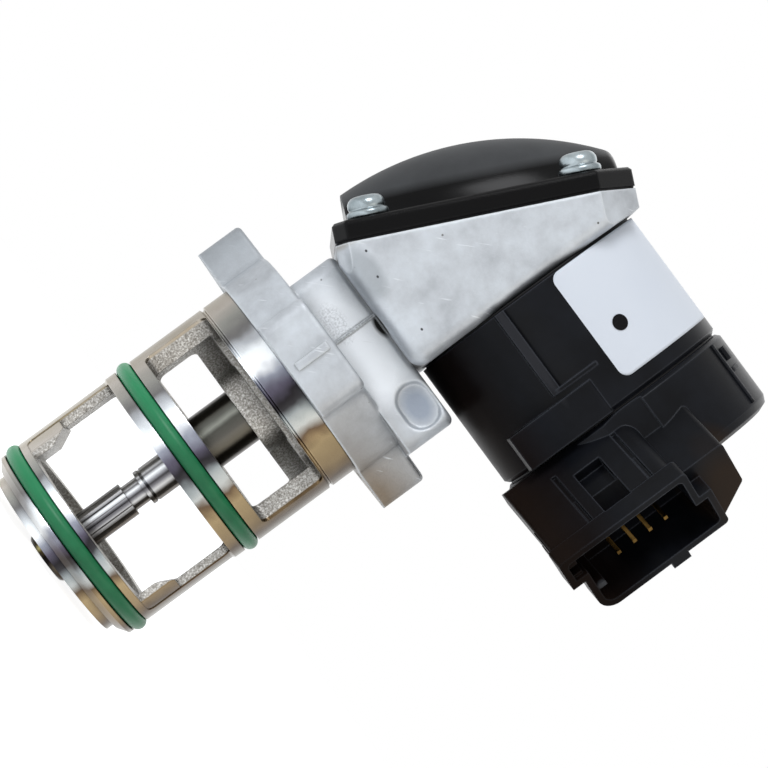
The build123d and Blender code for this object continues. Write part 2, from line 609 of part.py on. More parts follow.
with BuildPart() as valve_housing:
    with BuildSketch(cover_plane):
        add(cover_outline())
    extrude(amount=-CASE_DEPTH)
    split(bisect_by=across(CASE_BACK_X), keep=Keep.BOTTOM)
    split(bisect_by=Plane.XY.offset(CASE_FLOOR_Z), keep=Keep.TOP)
    back_edges = valve_housing.faces().sort_by(Axis.X)[-1].edges().filter_by(Axis.Z)
    fillet(back_edges, WALL - 0.1)
    low_edges = valve_housing.faces().sort_by(Axis.Z)[0].edges().filter_by(Axis.X)
    fillet(low_edges, WALL - 0.1)
    add(neck.part)
    add(flange_plate.part)
    # raised bar on the front ear
    with BuildSketch(Plane.XZ.offset(EAR_REACH - OVER)):
        with Locations((0, (BAR_TOP_Z + BAR_BOTTOM_Z) / 2)):
            Rectangle(2 * BAR_HALF_W, BAR_TOP_Z - BAR_BOTTOM_Z)
    extrude(amount=BAR_PROUD + OVER)
    # hollows
    add(case_room.part, mode=Mode.SUBTRACT)
    bore(Plane.XY.offset(SPIGOT_H), SPRING_ROOM_R, floor_top_z - SPIGOT_H + OVER)
    bore(Plane.XY.offset(-OVER), SPIGOT_R, SPIGOT_H + OVER)
    with BuildSketch(Plane.XY.offset(-OVER)) as bolts:
        with PolarLocations(BOLT_PCD / 2, 3, start_angle=-90):
            Circle(BOLT_HOLE_R)
    extrude(amount=FLANGE_T + 2 * OVER, mode=Mode.SUBTRACT)
    bore(across(case_inner_x - OVER), motor_pinion_r + 2.5, WALL + 2 * OVER, (0, MOTOR_Z))
    for spot in screw_spots:
        bore(cover_plane.offset(-COVER_SCREW_L), COVER_SCREW_R, COVER_SCREW_L + OVER, spot)
    for spot in motor_screw_spots:
        bore(across(case_inner_x - OVER), MOTOR_SCREW_R + SCREW_GAP, WALL + 2 * OVER, spot)
    bore(across(case_inner_x - OVER), CAM_PIN_R + SEAT_GAP, WALL + OVER - 0.8, (0, CAM_Z))
    disc(across(case_inner_x - OVER), IDLER_PIN_R + SEAT_GAP, WALL + OVER - 0.8, (idler_y, idler_z),
         mode=Mode.SUBTRACT)

# ---- cover ----------------------------------------------------------------------------------
with BuildPart() as cover_gasket:
    with BuildSketch(cover_plane):
        add(cover_outline(0.4))
        add(cover_outline(WALL - 0.4), mode=Mode.SUBTRACT)
        with Locations(*screw_spots):
            Circle(SCREW_BOSS_R - 0.4)
        with Locations(*screw_spots):
            Circle(COVER_SCREW_R + SCREW_GAP, mode=Mode.SUBTRACT)
    extrude(amount=GASKET_T)

plate_in = cover_plane.offset(GASKET_T)
plate_out = cover_plane.offset(GASKET_T + PLATE_T)


dome_axis_n = GASKET_T + PLATE_T + DOME_H - DOME_CROSS_R
side_plane = Plane(origin=cover_plane.origin, x_dir=cover_plane.x_dir, z_dir=(0, -1, 0))
dome_axis = Axis(cover_plane.from_local_coords((0, 0, dome_axis_n)), cover_plane.x_dir)


def dome_height(u, shrink):
    """Height of the dome's ridge over its turning line, at u along the cover."""
    return DOME_CROSS_R - DOME_LONG_R + sqrt(DOME_LONG_R**2 - (u - DOME_TOP_U) ** 2) - shrink


def dome_body(shrink):
    """The dome: an arched barrel cut off level with the plate's inner face; shrink gives its inside."""
    start = DOME_START + shrink
    end = DOME_END - shrink
    with BuildPart() as dome:
        with BuildSketch(side_plane) as half:
            with BuildLine():
                ridge = [(u, dome_axis_n + dome_height(u, shrink)) for u in (start, DOME_TOP_U, end)]
                crown = ThreePointArc(*ridge)
                Polyline(crown @ 1, (end, dome_axis_n), (start, dome_axis_n), crown @ 0)
            make_face()
        revolve(axis=dome_axis)
        rims = dome.edges().filter_by(GeomType.CIRCLE).group_by(SortBy.LENGTH)[0:2]
        fillet([edge for group in rims for edge in group], DOME_EDGE_R)
        split(bisect_by=plate_in, keep=Keep.TOP)
    return dome.part


with BuildPart() as gear_cover:
    with BuildSketch(plate_in):
        add(cover_outline())
    extrude(amount=PLATE_T)
    plate_top = gear_cover.faces().sort_by(Axis(cover_plane.origin, cover_plane.z_dir))[-1]
    chamfer(plate_top.edges(), PLATE_EDGE)
    add(dome_body(0))
    add(dome_body(DOME_WALL), mode=Mode.SUBTRACT)
    with BuildSketch(plate_in) as recess:
        with Locations(((DOME_START + DOME_END) / 2, 0)):
            RectangleRounded(DOME_END - DOME_START - 2 * DOME_WALL, 2 * RECESS_HALF_V, RECESS_CORNER_R)
    extrude(recess.sketch, amount=PLATE_T - PLATE_FLOOR, mode=Mode.SUBTRACT)
    for spot in screw_spots:
        bore(plate_out, COVER_HEAD_R + SCREW_POCKET, 2 * DOME_H, spot)
        bore(cover_plane, COVER_SCREW_R + SCREW_GAP, PLATE_T + 2 * OVER, spot)

thread_l = COVER_SCREW_L - 2 * OVER
with BuildPart() as cover_screws:
    for spot in screw_spots:
        disc(cover_plane.offset(-thread_l), COVER_SCREW_R - SEAT_GAP, thread_l + GASKET_T + PLATE_T, spot)
        disc(plate_out, COVER_HEAD_R, 1.3, spot)
        with BuildSketch(plate_out.offset(1.3)) as head:
            with Locations(spot):
                Circle(COVER_HEAD_R - 0.8)
        extrude(head.sketch, amount=COVER_HEAD_H - 1.3, taper=12)

# ---- gear train -----------------------------------------------------------------------------
# The cam groove is a spiral of constant rise, so lift and turn keep one ratio.
def groove_point(turned_by):
    """Point of the groove's centre line that meets the roller after turned_by degrees."""
    r = GROOVE_START_R + LIFT * turned_by / CAM_ANGLE
    beta = radians(-90 - turned_by)
    return (r * cos(beta), CAM_Z + r * sin(beta))


groove_half = ROLLER_R + ROLLER_GAP
steps = [CAM_ANGLE * k / 6 for k in range(7)]
sector_pitch = 360 / SECTOR_TEETH
idler_pitch = 360 / IDLER_PINION_TEETH
wheel_pitch = 360 / WHEEL_TEETH
first_tooth = cam_line - sector_pitch * 13
teeth_on_sector = 16
with BuildPart() as cam_gear:
    toothed_disc(across(CAM_PLATE_X), (0, CAM_Z), SECTOR_MODULE, SECTOR_TEETH, CAM_PLATE_T,
                 first_tooth, teeth_on_sector, blank=sector_r - 1.1 * SECTOR_MODULE)
    with BuildSketch(across(CAM_PLATE_X)) as groove:
        with BuildLine():
            Spline(*[groove_point(a) for a in steps])
        trace(line_width=2 * groove_half)
        with Locations(groove_point(0), groove_point(CAM_ANGLE)):
            Circle(groove_half)
    extrude(groove.sketch, amount=GROOVE_DEPTH, mode=Mode.SUBTRACT)
    bore(across(CAM_PLATE_X - OVER), CAM_BUSH_R, CAM_PLATE_T + 2 * OVER, (0, CAM_Z))

cam_pin_start = CAM_PLATE_X - CLIP_T
with BuildPart() as cam_gear_bush:
    disc(across(CAM_PLATE_X), CAM_BUSH_R - SEAT_GAP, CAM_PLATE_T + 0.4, (0, CAM_Z))
    bore(across(CAM_PLATE_X - OVER), CAM_PIN_R + SLIDE_GAP, CAM_PLATE_T + 2 * OVER, (0, CAM_Z))

idler_x = CAM_PLATE_X - 0.5
# teeth of the idler meet gaps of the sector and of the motor pinion on both lines of centres
idler_phase = cam_line + 180 + idler_pitch / 2
wheel_phase = motor_line + 180
pinion_phase = motor_line + 180 / MOTOR_PINION_TEETH
with BuildPart() as idler_gear:
    toothed_disc(across(idler_x), (idler_y, idler_z), SECTOR_MODULE, IDLER_PINION_TEETH, wheel_x - idler_x,
                 idler_phase)
    toothed_disc(across(wheel_x), (idler_y, idler_z), WHEEL_MODULE, WHEEL_TEETH, WHEEL_T, wheel_phase)
    bore(across(idler_x - OVER), IDLER_PIN_R + SLIDE_GAP, WHEEL_T + wheel_x - idler_x + 2 * OVER,
         (idler_y, idler_z))

with BuildPart() as cam_gear_pin:
    disc(across(cam_pin_start - 0.6), CAM_PIN_R, case_inner_x + WALL - 1 - cam_pin_start + 0.6, (0, CAM_Z))

with BuildPart() as idler_pin:
    disc(across(idler_x - CLIP_T - 0.8), IDLER_PIN_R, case_inner_x + WALL - 1 - idler_x + CLIP_T + 0.8,
         (idler_y, idler_z))

with BuildPart() as pin_clips:
    for x, centre, pin_r in ((cam_pin_start - 0.2, (0, CAM_Z), CAM_PIN_R),
                             (idler_x - CLIP_T - 0.2, (idler_y, idler_z), IDLER_PIN_R)):
        disc(across(x), pin_r + 1.2, CLIP_T, centre)
        bore(across(x - OVER), pin_r, CLIP_T + 2 * OVER, centre)

# ---- motor ----------------------------------------------------------------------------------
bearing_x = can_front_x - BEARING_W
with BuildPart() as motor_gasket:
    disc(across(CASE_BACK_X), MOTOR_HOUSING_R - 1, GASKET_T, (0, MOTOR_Z))
    bore(across(CASE_BACK_X - OVER), MOTOR_HOUSING_R - 4, GASKET_T + 2 * OVER, (0, MOTOR_Z))

with BuildPart() as motor_housing:
    turned([(gasket_x, 0), (gasket_x, MOTOR_HOUSING_R), (MOTOR_END_X - NOTCH, MOTOR_HOUSING_R),
            (MOTOR_END_X, MOTOR_HOUSING_R - NOTCH), (MOTOR_END_X, 0)], motor_profile, motor_axis)
    # ribs and fairing on the front
    plate(Plane.XY.offset(RIB_Z - RIB_T / 2), [(gasket_x, rib_y), (RIB_X_END, rib_y), (RIB_X_END, rib_root_y),
                                               (gasket_x, rib_root_y)], RIB_T)
    plate(Plane.XY.offset(RIB_Z), [(RIB_X_END - POST_RIB_W, rib_y - 0.3), (RIB_X_END, rib_y - 0.3),
                                   (RIB_X_END, rib_root_y), (RIB_X_END - POST_RIB_W, rib_root_y)],
          POST_RIB_TOP_Z - RIB_Z)
    with BuildSketch(Plane.XZ.offset(-rib_root_y)) as fairing:
        with Locations(((FAIRING_X + MOTOR_END_X) / 2, (FAIRING_TOP_Z + FAIRING_BOTTOM_Z) / 2)):
            Rectangle(MOTOR_END_X - FAIRING_X, FAIRING_TOP_Z - FAIRING_BOTTOM_Z)
    extrude(fairing.sketch, amount=rib_root_y - fairing_y)
    top_edge = motor_housing.edges().filter_by(Axis.X).filter_by_position(
        Axis.Z, FAIRING_TOP_Z - 0.01, FAIRING_TOP_Z + 0.01).sort_by(Axis.Y)[0]
    fillet(top_edge, FAIRING_EDGE_R)
    with BuildSketch(Plane.XY.offset(MOTOR_Z + MOTOR_HOUSING_R - POCKET_DEPTH)):
        with Locations(((POCKET_X + MOTOR_END_X + OVER) / 2, 0)):
            Rectangle(MOTOR_END_X + OVER - POCKET_X, 2 * POCKET_HALF_Y)
    extrude(amount=POCKET_DEPTH + OVER, mode=Mode.SUBTRACT)
    # hollow for the motor, hole for its nose
    bore(across(housing_wall_x), MOTOR_BORE_R, MOTOR_END_X - housing_wall_x + OVER, (0, MOTOR_Z))
    bore(across(gasket_x - OVER), BEARING_R + 2.2, MOTOR_WALL_T + 2 * OVER, (0, MOTOR_Z))
    for spot in motor_screw_spots:
        bore(across(gasket_x - OVER), MOTOR_SCREW_R + SCREW_GAP, MOTOR_WALL_T + 2 * OVER, spot)

nose_r = BEARING_R + 1.6
with BuildPart() as motor_can:
    turned([(bearing_x, SHAFT_R + 1), (bearing_x, nose_r), (housing_wall_x, nose_r), (housing_wall_x, CAN_R),
            (CAN_END_X, CAN_R), (CAN_END_X, CAN_R - CAN_T), (can_front_x + 1, CAN_R - CAN_T),
            (can_front_x + 1, SHAFT_R + 1)],
           motor_profile, motor_axis)
    bore(across(bearing_x + 0.6), BEARING_R, BEARING_W + 2, (0, MOTOR_Z))
    for spot in motor_screw_spots:
        bore(across(housing_wall_x - OVER), MOTOR_SCREW_R + SEAT_GAP, 2 * CAN_T + 2 * OVER, spot)

with BuildPart() as motor_screws:
    for spot in motor_screw_spots:
        disc(across(case_inner_x), MOTOR_SCREW_R, can_front_x + 1 - case_inner_x, spot)
        disc(across(case_inner_x - MOTOR_SCREW_HEAD_H), MOTOR_SCREW_HEAD_R, MOTOR_SCREW_HEAD_H, spot)

armature_x = can_front_x + 3.5
commutator_x = armature_x + ARMATURE_L + 1.5
holder_x = CAN_END_X - HOLDER_T
magnet_r = CAN_R - CAN_T - SEAT_GAP
wedges = {}
for side in (0, 180):
    half = MAGNET_SPAN / 2
    reach = 2 * CAN_R
    with BuildPart() as wedges[side]:
        plate(across(armature_x - 2), [(0, MOTOR_Z)] + [
            (reach * cos(radians(side + a)), MOTOR_Z + reach * sin(radians(side + a)))
            for a in (-half, -half / 2, 0, half / 2, half)], ARMATURE_L + 4)

with BuildPart() as motor_magnets:
    for side in (0, 180):
        with BuildSketch(across(armature_x - 1)) as magnet:
            with Locations((0, MOTOR_Z)):
                Circle(magnet_r)
                Circle(magnet_r - MAGNET_T, mode=Mode.SUBTRACT)
        ring = extrude(magnet.sketch, amount=ARMATURE_L + 2, mode=Mode.PRIVATE)
        add(ring & wedges[side].part)

with BuildPart() as front_bearing:
    disc(across(bearing_x + 0.6), BEARING_R - SEAT_GAP, BEARING_W, (0, MOTOR_Z))
    bore(across(bearing_x), SHAFT_R + SLIDE_GAP, BEARING_W + 2, (0, MOTOR_Z))

with BuildPart() as motor_shaft:
    disc(across(wheel_x), SHAFT_R - 1.0, 2 * WHEEL_T, (0, MOTOR_Z))
    disc(across(wheel_x + WHEEL_T + 0.4), SHAFT_R, CAN_END_X + 6.5 - wheel_x - WHEEL_T - 0.4, (0, MOTOR_Z))

with BuildPart() as motor_pinion:
    toothed_disc(across(wheel_x), (0, MOTOR_Z), WHEEL_MODULE, MOTOR_PINION_TEETH, WHEEL_T + 0.3, pinion_phase)
    bore(across(wheel_x - OVER), SHAFT_R - 1.0, WHEEL_T + 3, (0, MOTOR_Z))

with BuildPart() as armature_core:
    disc(across(armature_x), ARMATURE_R, ARMATURE_L, (0, MOTOR_Z))
    with BuildSketch(across(armature_x - OVER)) as slots:
        with Locations((0, MOTOR_Z)):
            with PolarLocations(ARMATURE_R * 0.66, ARMATURE_SLOTS):
                SlotOverall(ARMATURE_R * 0.5, 5.0)
            with PolarLocations(ARMATURE_R, ARMATURE_SLOTS):
                Rectangle(6, 1.8)
    extrude(slots.sketch, amount=ARMATURE_L + 2 * OVER, mode=Mode.SUBTRACT)
    bore(across(armature_x - OVER), SHAFT_R, ARMATURE_L + 2 * OVER, (0, MOTOR_Z))

with BuildPart() as armature_windings:
    with BuildSketch(across(armature_x - 1.2)) as coils:
        with Locations((0, MOTOR_Z)):
            with PolarLocations(ARMATURE_R * 0.66, ARMATURE_SLOTS):
                SlotOverall(ARMATURE_R * 0.5 - 0.6, 4.4)
    extrude(coils.sketch, amount=ARMATURE_L + 2.4)

with BuildPart() as commutator:
    disc(across(commutator_x), COMMUTATOR_R, COMMUTATOR_L, (0, MOTOR_Z))
    bore(across(commutator_x - OVER), SHAFT_R, COMMUTATOR_L + 2 * OVER, (0, MOTOR_Z))

with BuildPart() as brush_holder:
    disc(across(holder_x), magnet_r, HOLDER_T, (0, MOTOR_Z))
    disc(across(holder_x), BEARING_R + 1.4, HOLDER_T + BEARING_W - 1.4, (0, MOTOR_Z))
    bore(across(holder_x - OVER), SHAFT_R + 1.5, 20, (0, MOTOR_Z))
    bore(across(holder_x + 1.2), BEARING_R, 20, (0, MOTOR_Z))

with BuildPart() as rear_bearing:
    disc(across(holder_x + 1.2), BEARING_R - SEAT_GAP, BEARING_W, (0, MOTOR_Z))
    bore(across(holder_x), SHAFT_R + SLIDE_GAP, BEARING_W + 3, (0, MOTOR_Z))

with BuildPart() as brushes:
    for side in (-1, 1):
        near = COMMUTATOR_R + SLIDE_GAP * 3
        plate(across(commutator_x + 0.6), [(side * near, MOTOR_Z - 2), (side * (near + 7), MOTOR_Z - 2),
                                           (side * (near + 7), MOTOR_Z + 2), (side * near, MOTOR_Z + 2)],
              holder_x - commutator_x - 0.6)

magnet_x = CAN_END_X + 6.5
with BuildPart() as sensor_magnet:
    disc(across(magnet_x), 4.0, 2.0, (0, MOTOR_Z))

# ---- end cap and connector ------------------------------------------------------------------
def shell_outline(inset, near_top_r=MOUTH_R):
    """The keyed outline of the connector: its near half sits lower than its far half."""
    w = SHELL_HALF_W
    h = SHELL_HALF_H
    k = SHELL_KEY
    with BuildSketch() as outline:
        with BuildLine():
            Polyline((-w, -h), (SHELL_KEY_AT, -h), (SHELL_KEY_AT, k - h), (w, k - h), (w, h),
                     (SHELL_KEY_AT, h), (SHELL_KEY_AT, h - k), (-w, h - k), close=True)
        make_face()
        if inset:
            offset(amount=-inset, kind=Kind.INTERSECTION)
        near_top = outline.vertices().filter_by(lambda v: v.X < inset - w + 0.01 and v.Y > 0)
        fillet(near_top, near_top_r)
        far_low = outline.vertices().filter_by(lambda v: v.X > w - inset - 0.01 and v.Y < 0)
        fillet(far_low, MOUTH_FAR_R - inset)
        near_low = outline.vertices().filter_by(lambda v: v.X < inset - w + 0.01 and v.Y < 0)
        far_top = outline.vertices().filter_by(lambda v: v.X > w - inset - 0.01 and v.Y > 0)
        fillet(near_low + far_top, MOUTH_R)
    return outline.sketch


seal_x = MOTOR_END_X
with BuildPart() as end_cap_seal:
    disc(across(seal_x), MOTOR_HOUSING_R - 1.2, CAP_GAP, (0, MOTOR_Z))
    bore(across(seal_x - OVER), MOTOR_BORE_R, CAP_GAP + 2 * OVER, (0, MOTOR_Z))

cap_inner_x = CAP_END_X - CAP_WALL
with BuildPart() as shell:
    with BuildSketch(mouth_plane):
        add(shell_outline(0))
    extrude(amount=-RIM_L)
    with BuildSketch(mouth_plane.offset(-RIM_L)):
        add(shell_outline(BODY_INSET, BODY_TOP_R))
    extrude(amount=RIM_L - SHELL_L)
    split(bisect_by=across(cap_x), keep=Keep.TOP)

with BuildPart() as back_block:
    with BuildSketch(mouth_plane.offset(-BACK_BLOCK_L)) as block:
        with BuildLine():
            Polyline(*BACK_BLOCK, close=True)
        make_face()
        fillet(block.vertices(), MOUTH_R)
    extrude(amount=-BACK_BLOCK_DEPTH)
    split(bisect_by=across(cap_x + BLOCK_FROM_CAP), keep=Keep.TOP)

# near wall's plane: local x runs back from the mouth, local y runs up
near_wall = Plane(origin=mouth_plane.from_local_coords((BODY_INSET - SHELL_HALF_W, 0, 0)),
                  x_dir=-mouth_plane.z_dir, z_dir=-mouth_plane.x_dir)
pin_spots = [(PIN_SIDE, PIN_RISE + (k - (PINS - 1) / 2) * PIN_PITCH) for k in range(PINS)]


def wall_box(span, rise, depth, above=OVER):
    """A box in the near wall: span back from the mouth, rise up the wall, depth into it."""
    with BuildSketch(near_wall.offset(-depth)) as face:
        with Locations((sum(span) / 2, sum(rise) / 2)):
            Rectangle(span[1] - span[0], rise[1] - rise[0])
    extrude(face.sketch, amount=depth + above, mode=Mode.SUBTRACT)


with BuildPart() as end_cap:
    turned([(cap_x, 0), (cap_x, CAP_R - NOTCH), (cap_x + NOTCH, CAP_R), (CAP_END_X - 2.5, CAP_R),
            (CAP_END_X - 0.8, CAP_R - 0.8), (CAP_END_X, CAP_R - 2.8), (CAP_END_X, 0)],
           motor_profile, motor_axis)
    # flat below the step on the front, slot of the snap on top
    with BuildSketch(Plane.XY.offset(MOTOR_Z + CAP_R - SNAP_DEPTH)):
        with Locations((sum(SNAP_X) / 2, 0)):
            Rectangle(SNAP_X[1] - SNAP_X[0], 2 * SNAP_HALF_Y)
    extrude(amount=SNAP_DEPTH + OVER, mode=Mode.SUBTRACT)
    with BuildSketch(across(cap_x - OVER)) as flat:
        with Locations((step_y - OVER, (STEP_Z + MOTOR_Z - CAP_R) / 2)):
            Rectangle(2 * OVER, STEP_Z - MOTOR_Z + CAP_R)
    extrude(flat.sketch, amount=CAP_END_X - cap_x + 2 * OVER, mode=Mode.SUBTRACT)
    add(shell.part)
    add(back_block.part)
    # tab outside the far wall
    with BuildSketch(mouth_plane) as tab:
        with Locations((SHELL_HALF_W + (TAB_PROUD - OVER) / 2, sum(TAB_Y) / 2)):
            Rectangle(TAB_PROUD + OVER, TAB_Y[1] - TAB_Y[0])
    extrude(tab.sketch, amount=-TAB_L)
    # latch window and the fine grooves beside it
    wall_box(LATCH_L, LATCH_Y, LATCH_DEPTH)
    for y in SLIT_Y:
        wall_box(SLIT_L, (y - SLIT_W / 2, y + SLIT_W / 2), SLIT_DEPTH)
    # hollow for the board, socket for the plug
    bore(across(cap_x - OVER), MOTOR_BORE_R, cap_inner_x - cap_x + OVER, (0, MOTOR_Z))
    with BuildSketch(mouth_plane) as socket:
        add(shell_outline(SHELL_WALL))
    extrude(socket.sketch, amount=-SOCKET_DEPTH, mode=Mode.SUBTRACT)
    # key ribs on the socket's floor
    for left, right in KEY_RIBS:
        floor = -SHELL_HALF_H + SHELL_WALL + (SHELL_KEY if left > SHELL_KEY_AT else 0)
        with BuildSketch(mouth_plane.offset(-KEY_RIB_BACK)) as rib:
            with Locations(((left + right) / 2, floor + (KEY_RIB_H - OVER) / 2)):
                Rectangle(right - left, KEY_RIB_H + OVER)
        extrude(rib.sketch, amount=KEY_RIB_BACK - SOCKET_DEPTH)
    with BuildSketch(mouth_plane.offset(-PIN_SET_BACK - PIN_L - OVER)) as pin_holes:
        with Locations(*pin_spots):
            Rectangle(PIN_W + 2 * SEAT_GAP, PIN_W + 2 * SEAT_GAP)
    extrude(pin_holes.sketch, amount=PIN_L + PIN_SET_BACK, mode=Mode.SUBTRACT)

with BuildPart() as connector_pins:
    with BuildSketch(mouth_plane.offset(-PIN_SET_BACK - PIN_L)):
        with Locations(*pin_spots):
            Rectangle(PIN_W, PIN_W)
    extrude(amount=PIN_L)

board_x = magnet_x + 2.0 + 1.5
with BuildPart() as circuit_board:
    disc(across(board_x), MOTOR_BORE_R - SEAT_GAP, BOARD_T, (0, MOTOR_Z))

# ---- export ---------------------------------------------------------------------------------
pieces = dict(
    valve_housing=valve_housing, valve_cage=valve_cage, upper_o_ring=upper_o_ring,
    lower_o_ring=lower_o_ring, guide_bush=guide_bush, stem_seal=stem_seal, valve_stem=valve_stem,
    upper_poppet=upper_poppet, lower_poppet=lower_poppet, stem_nut=stem_nut,
    spring_retainer=spring_retainer, return_spring=return_spring, roller_pin=roller_pin,
    cam_roller=cam_roller, cover_gasket=cover_gasket, gear_cover=gear_cover,
    cover_screws=cover_screws, cam_gear=cam_gear, cam_gear_bush=cam_gear_bush,
    cam_gear_pin=cam_gear_pin, idler_gear=idler_gear, idler_pin=idler_pin, pin_clips=pin_clips,
    motor_gasket=motor_gasket, motor_housing=motor_housing, motor_can=motor_can,
    motor_screws=motor_screws, motor_magnets=motor_magnets, front_bearing=front_bearing,
    rear_bearing=rear_bearing, motor_shaft=motor_shaft, motor_pinion=motor_pinion,
    armature_core=armature_core, armature_windings=armature_windings, commutator=commutator,
    brush_holder=brush_holder, brushes=brushes, sensor_magnet=sensor_magnet,
    end_cap_seal=end_cap_seal, end_cap=end_cap, connector_pins=connector_pins,
    circuit_board=circuit_board)
for name, piece in pieces.items():
    piece.part.label = name
    export_step(piece.part, f"parts/{name}.step")
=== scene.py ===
"""Finishes and soft-edged skins for an electric exhaust gas recirculation valve."""
import json
import math

import bmesh
import bpy
import numpy as np
from bpy.props import FloatProperty, IntProperty, PointerProperty, StringProperty
from bpy.types import Operator, Panel, PropertyGroup
from mathutils import Matrix, Vector


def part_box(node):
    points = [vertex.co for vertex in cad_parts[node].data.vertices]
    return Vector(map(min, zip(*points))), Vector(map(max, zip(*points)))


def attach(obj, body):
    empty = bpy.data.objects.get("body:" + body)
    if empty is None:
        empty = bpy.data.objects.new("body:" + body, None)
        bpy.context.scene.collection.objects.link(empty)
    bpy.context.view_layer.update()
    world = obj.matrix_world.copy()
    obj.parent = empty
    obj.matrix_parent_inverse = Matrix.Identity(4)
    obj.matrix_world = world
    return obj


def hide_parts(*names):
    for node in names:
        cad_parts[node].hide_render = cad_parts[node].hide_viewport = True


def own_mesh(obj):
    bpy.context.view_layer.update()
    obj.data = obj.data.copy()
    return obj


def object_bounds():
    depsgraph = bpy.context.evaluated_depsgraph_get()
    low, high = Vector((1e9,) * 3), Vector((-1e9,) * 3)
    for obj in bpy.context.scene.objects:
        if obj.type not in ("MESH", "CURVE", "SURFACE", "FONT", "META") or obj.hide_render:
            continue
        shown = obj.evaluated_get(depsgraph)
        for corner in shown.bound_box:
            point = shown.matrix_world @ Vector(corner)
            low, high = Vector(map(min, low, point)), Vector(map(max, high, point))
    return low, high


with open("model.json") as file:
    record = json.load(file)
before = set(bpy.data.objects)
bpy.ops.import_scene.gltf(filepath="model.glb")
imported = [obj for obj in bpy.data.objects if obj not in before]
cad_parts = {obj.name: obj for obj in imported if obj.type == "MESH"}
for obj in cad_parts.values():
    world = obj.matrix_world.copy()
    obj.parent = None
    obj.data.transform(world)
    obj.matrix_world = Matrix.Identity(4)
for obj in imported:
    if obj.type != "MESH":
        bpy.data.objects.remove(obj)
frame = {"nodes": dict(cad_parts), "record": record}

bl_info = {
    "name": "Exhaust Gas Recirculation Valve",
    "version": (1, 0, 0),
    "blender": (4, 5, 0),
    "location": "3D View > Sidebar > Valve",
    "description": "Dresses the valve's solids with cast, turned, moulded and plated finishes",
    "category": "Object",
}

MM = 0.001
CAD_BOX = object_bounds()
NODES = frame["nodes"]

# ---- places shared with the solids, in millimetres -------------------------------------------
# The cover's own axes: U runs up its slope, V across it and N out of it.
COVER_LEAN = math.radians(24.7)
COVER_FOOT = np.array([-16.6, 0.0, 28.9])
COVER_U = np.array([math.sin(COVER_LEAN), 0.0, math.cos(COVER_LEAN)])
COVER_V = np.array([0.0, 1.0, 0.0])
COVER_N = np.array([-math.cos(COVER_LEAN), 0.0, math.sin(COVER_LEAN)])
COVER_CROWN_N = (9.6, 12.2)     # between these the cover turns from glossy foot to satin crown
COVER_FACE_N = 5.2              # the cover plate's outer face, where the screws seat
MOTOR_Z = 58.0
MOTOR_R = 31.0
CAP_R = 31.4
LAND_R = (25.3, 25.6)           # between these the cage turns from cast wall to turned land
TUBE_R = (7.6, 7.3)             # and, inside, from cast wall to the turned guide tube
FOOT_Z = (-64.5, -65.0)         # below these all of the cage is turned
RIM_Z = (-65.5, -67.5)          # over this height the lowest rim goes brown
DISC_R = (10.0, 10.4)           # between these the stem gives way to the poppets' discs
NUT_Z = (-70.3, -70.4)          # below these lies the nut under the lower poppet

# ---- cover screws ----------------------------------------------------------------------------
SCREW_U = (6.0, 56.5)
SCREW_V = 23.5
# Radius and height over the seat: out of the recess, over the dome and the flange, and down the shank.
SCREW_PROFILE = np.array([
    (0.0, 3.3), (1.55, 3.3), (1.75, 3.6), (1.8, 4.95), (2.05, 5.2), (2.7, 5.22), (3.4, 5.0), (4.0, 4.5),
    (4.4, 3.8), (4.5, 3.0), (4.42, 2.45), (4.28, 2.2), (4.34, 1.98), (4.7, 1.82), (5.0, 1.55), (5.1, 1.1),
    (5.08, 0.5), (4.9, 0.12), (4.7, 0.0), (2.48, 0.0), (2.48, -13.0), (1.9, -14.0), (0.0, -14.0)])
RECESS_ROWS = slice(1, 4)
RECESS_LOBES = 6
RECESS_LOBE = 0.14              # share of the radius by which a lobe stands out

# ---- spring, plate and snap ------------------------------------------------------------------
SPRING_TURNS = 4.5
PLATE_X = (17.3, 46.6)
PLATE_FOOT = 3.4                # lower edge, above the motor's axis
PLATE_TOP = math.radians(100)   # upper edge, as an angle up from the front
PLATE_CORNER_R = 2.4
PLATE_GAP = 0.03                # under the plate, so that no faces share a place
PLATE_STEPS = (60, 40)          # round the motor and along it
CORNER_STEPS = 12
CORNER_SKIP = 4                 # rows of the plain arc that the rounded corners' rows take over
MARK_X = 35.4
MARK_UP = 10.6                  # the mark's middle, above the motor's axis
MARK_GAP = 0.01
MARK_T = 0.03
MARK_STEPS = (8, 48)            # out from its middle and round it
# Rails of the snap: from and to along x in mm, from and to up the cap in degrees, and how proud in mm.
SNAP_RAILS = [(52.6, 69.2, 55.0, 57.0, 0.55), (59.6, 60.8, 57.0, 68.0, 0.5), (54.4, 57.8, 60.5, 65.5, 0.9)]
RAIL_STEPS = (12, 16)           # along a rail and round its section
RAIL_FULLNESS = 1.6             # a rail's section is a sine times this, cut flat at its height

# ---- camera and light, in metres -------------------------------------------------------------
CAMERA_AT = (0.029, -0.750, -0.018)
CAMERA_AIM = (0.0140, 0.0, 0.0175)
CAMERA_UP = (-0.805, 0.0, 0.593)
CLIP_START = 0.01
# Name, place, side of its square, power in watts and colour.
LAMPS = [("key", (-0.55, -0.75, 0.62), 0.45, 6.0, "#fbfcff"),
         ("fill", (0.75, -0.65, 0.35), 0.8, 1.6, "#fff3e2"),
         ("back", (0.1, 0.8, 0.7), 0.8, 1.2, "#ffffff")]
SKY = "#f3f6fa"
SKY_LIGHT = 0.42                # what lights the part; the eye sees plain white
FLOOR_GLOW = 0.90               # added only where the eye sees the floor, so that its shadow stays

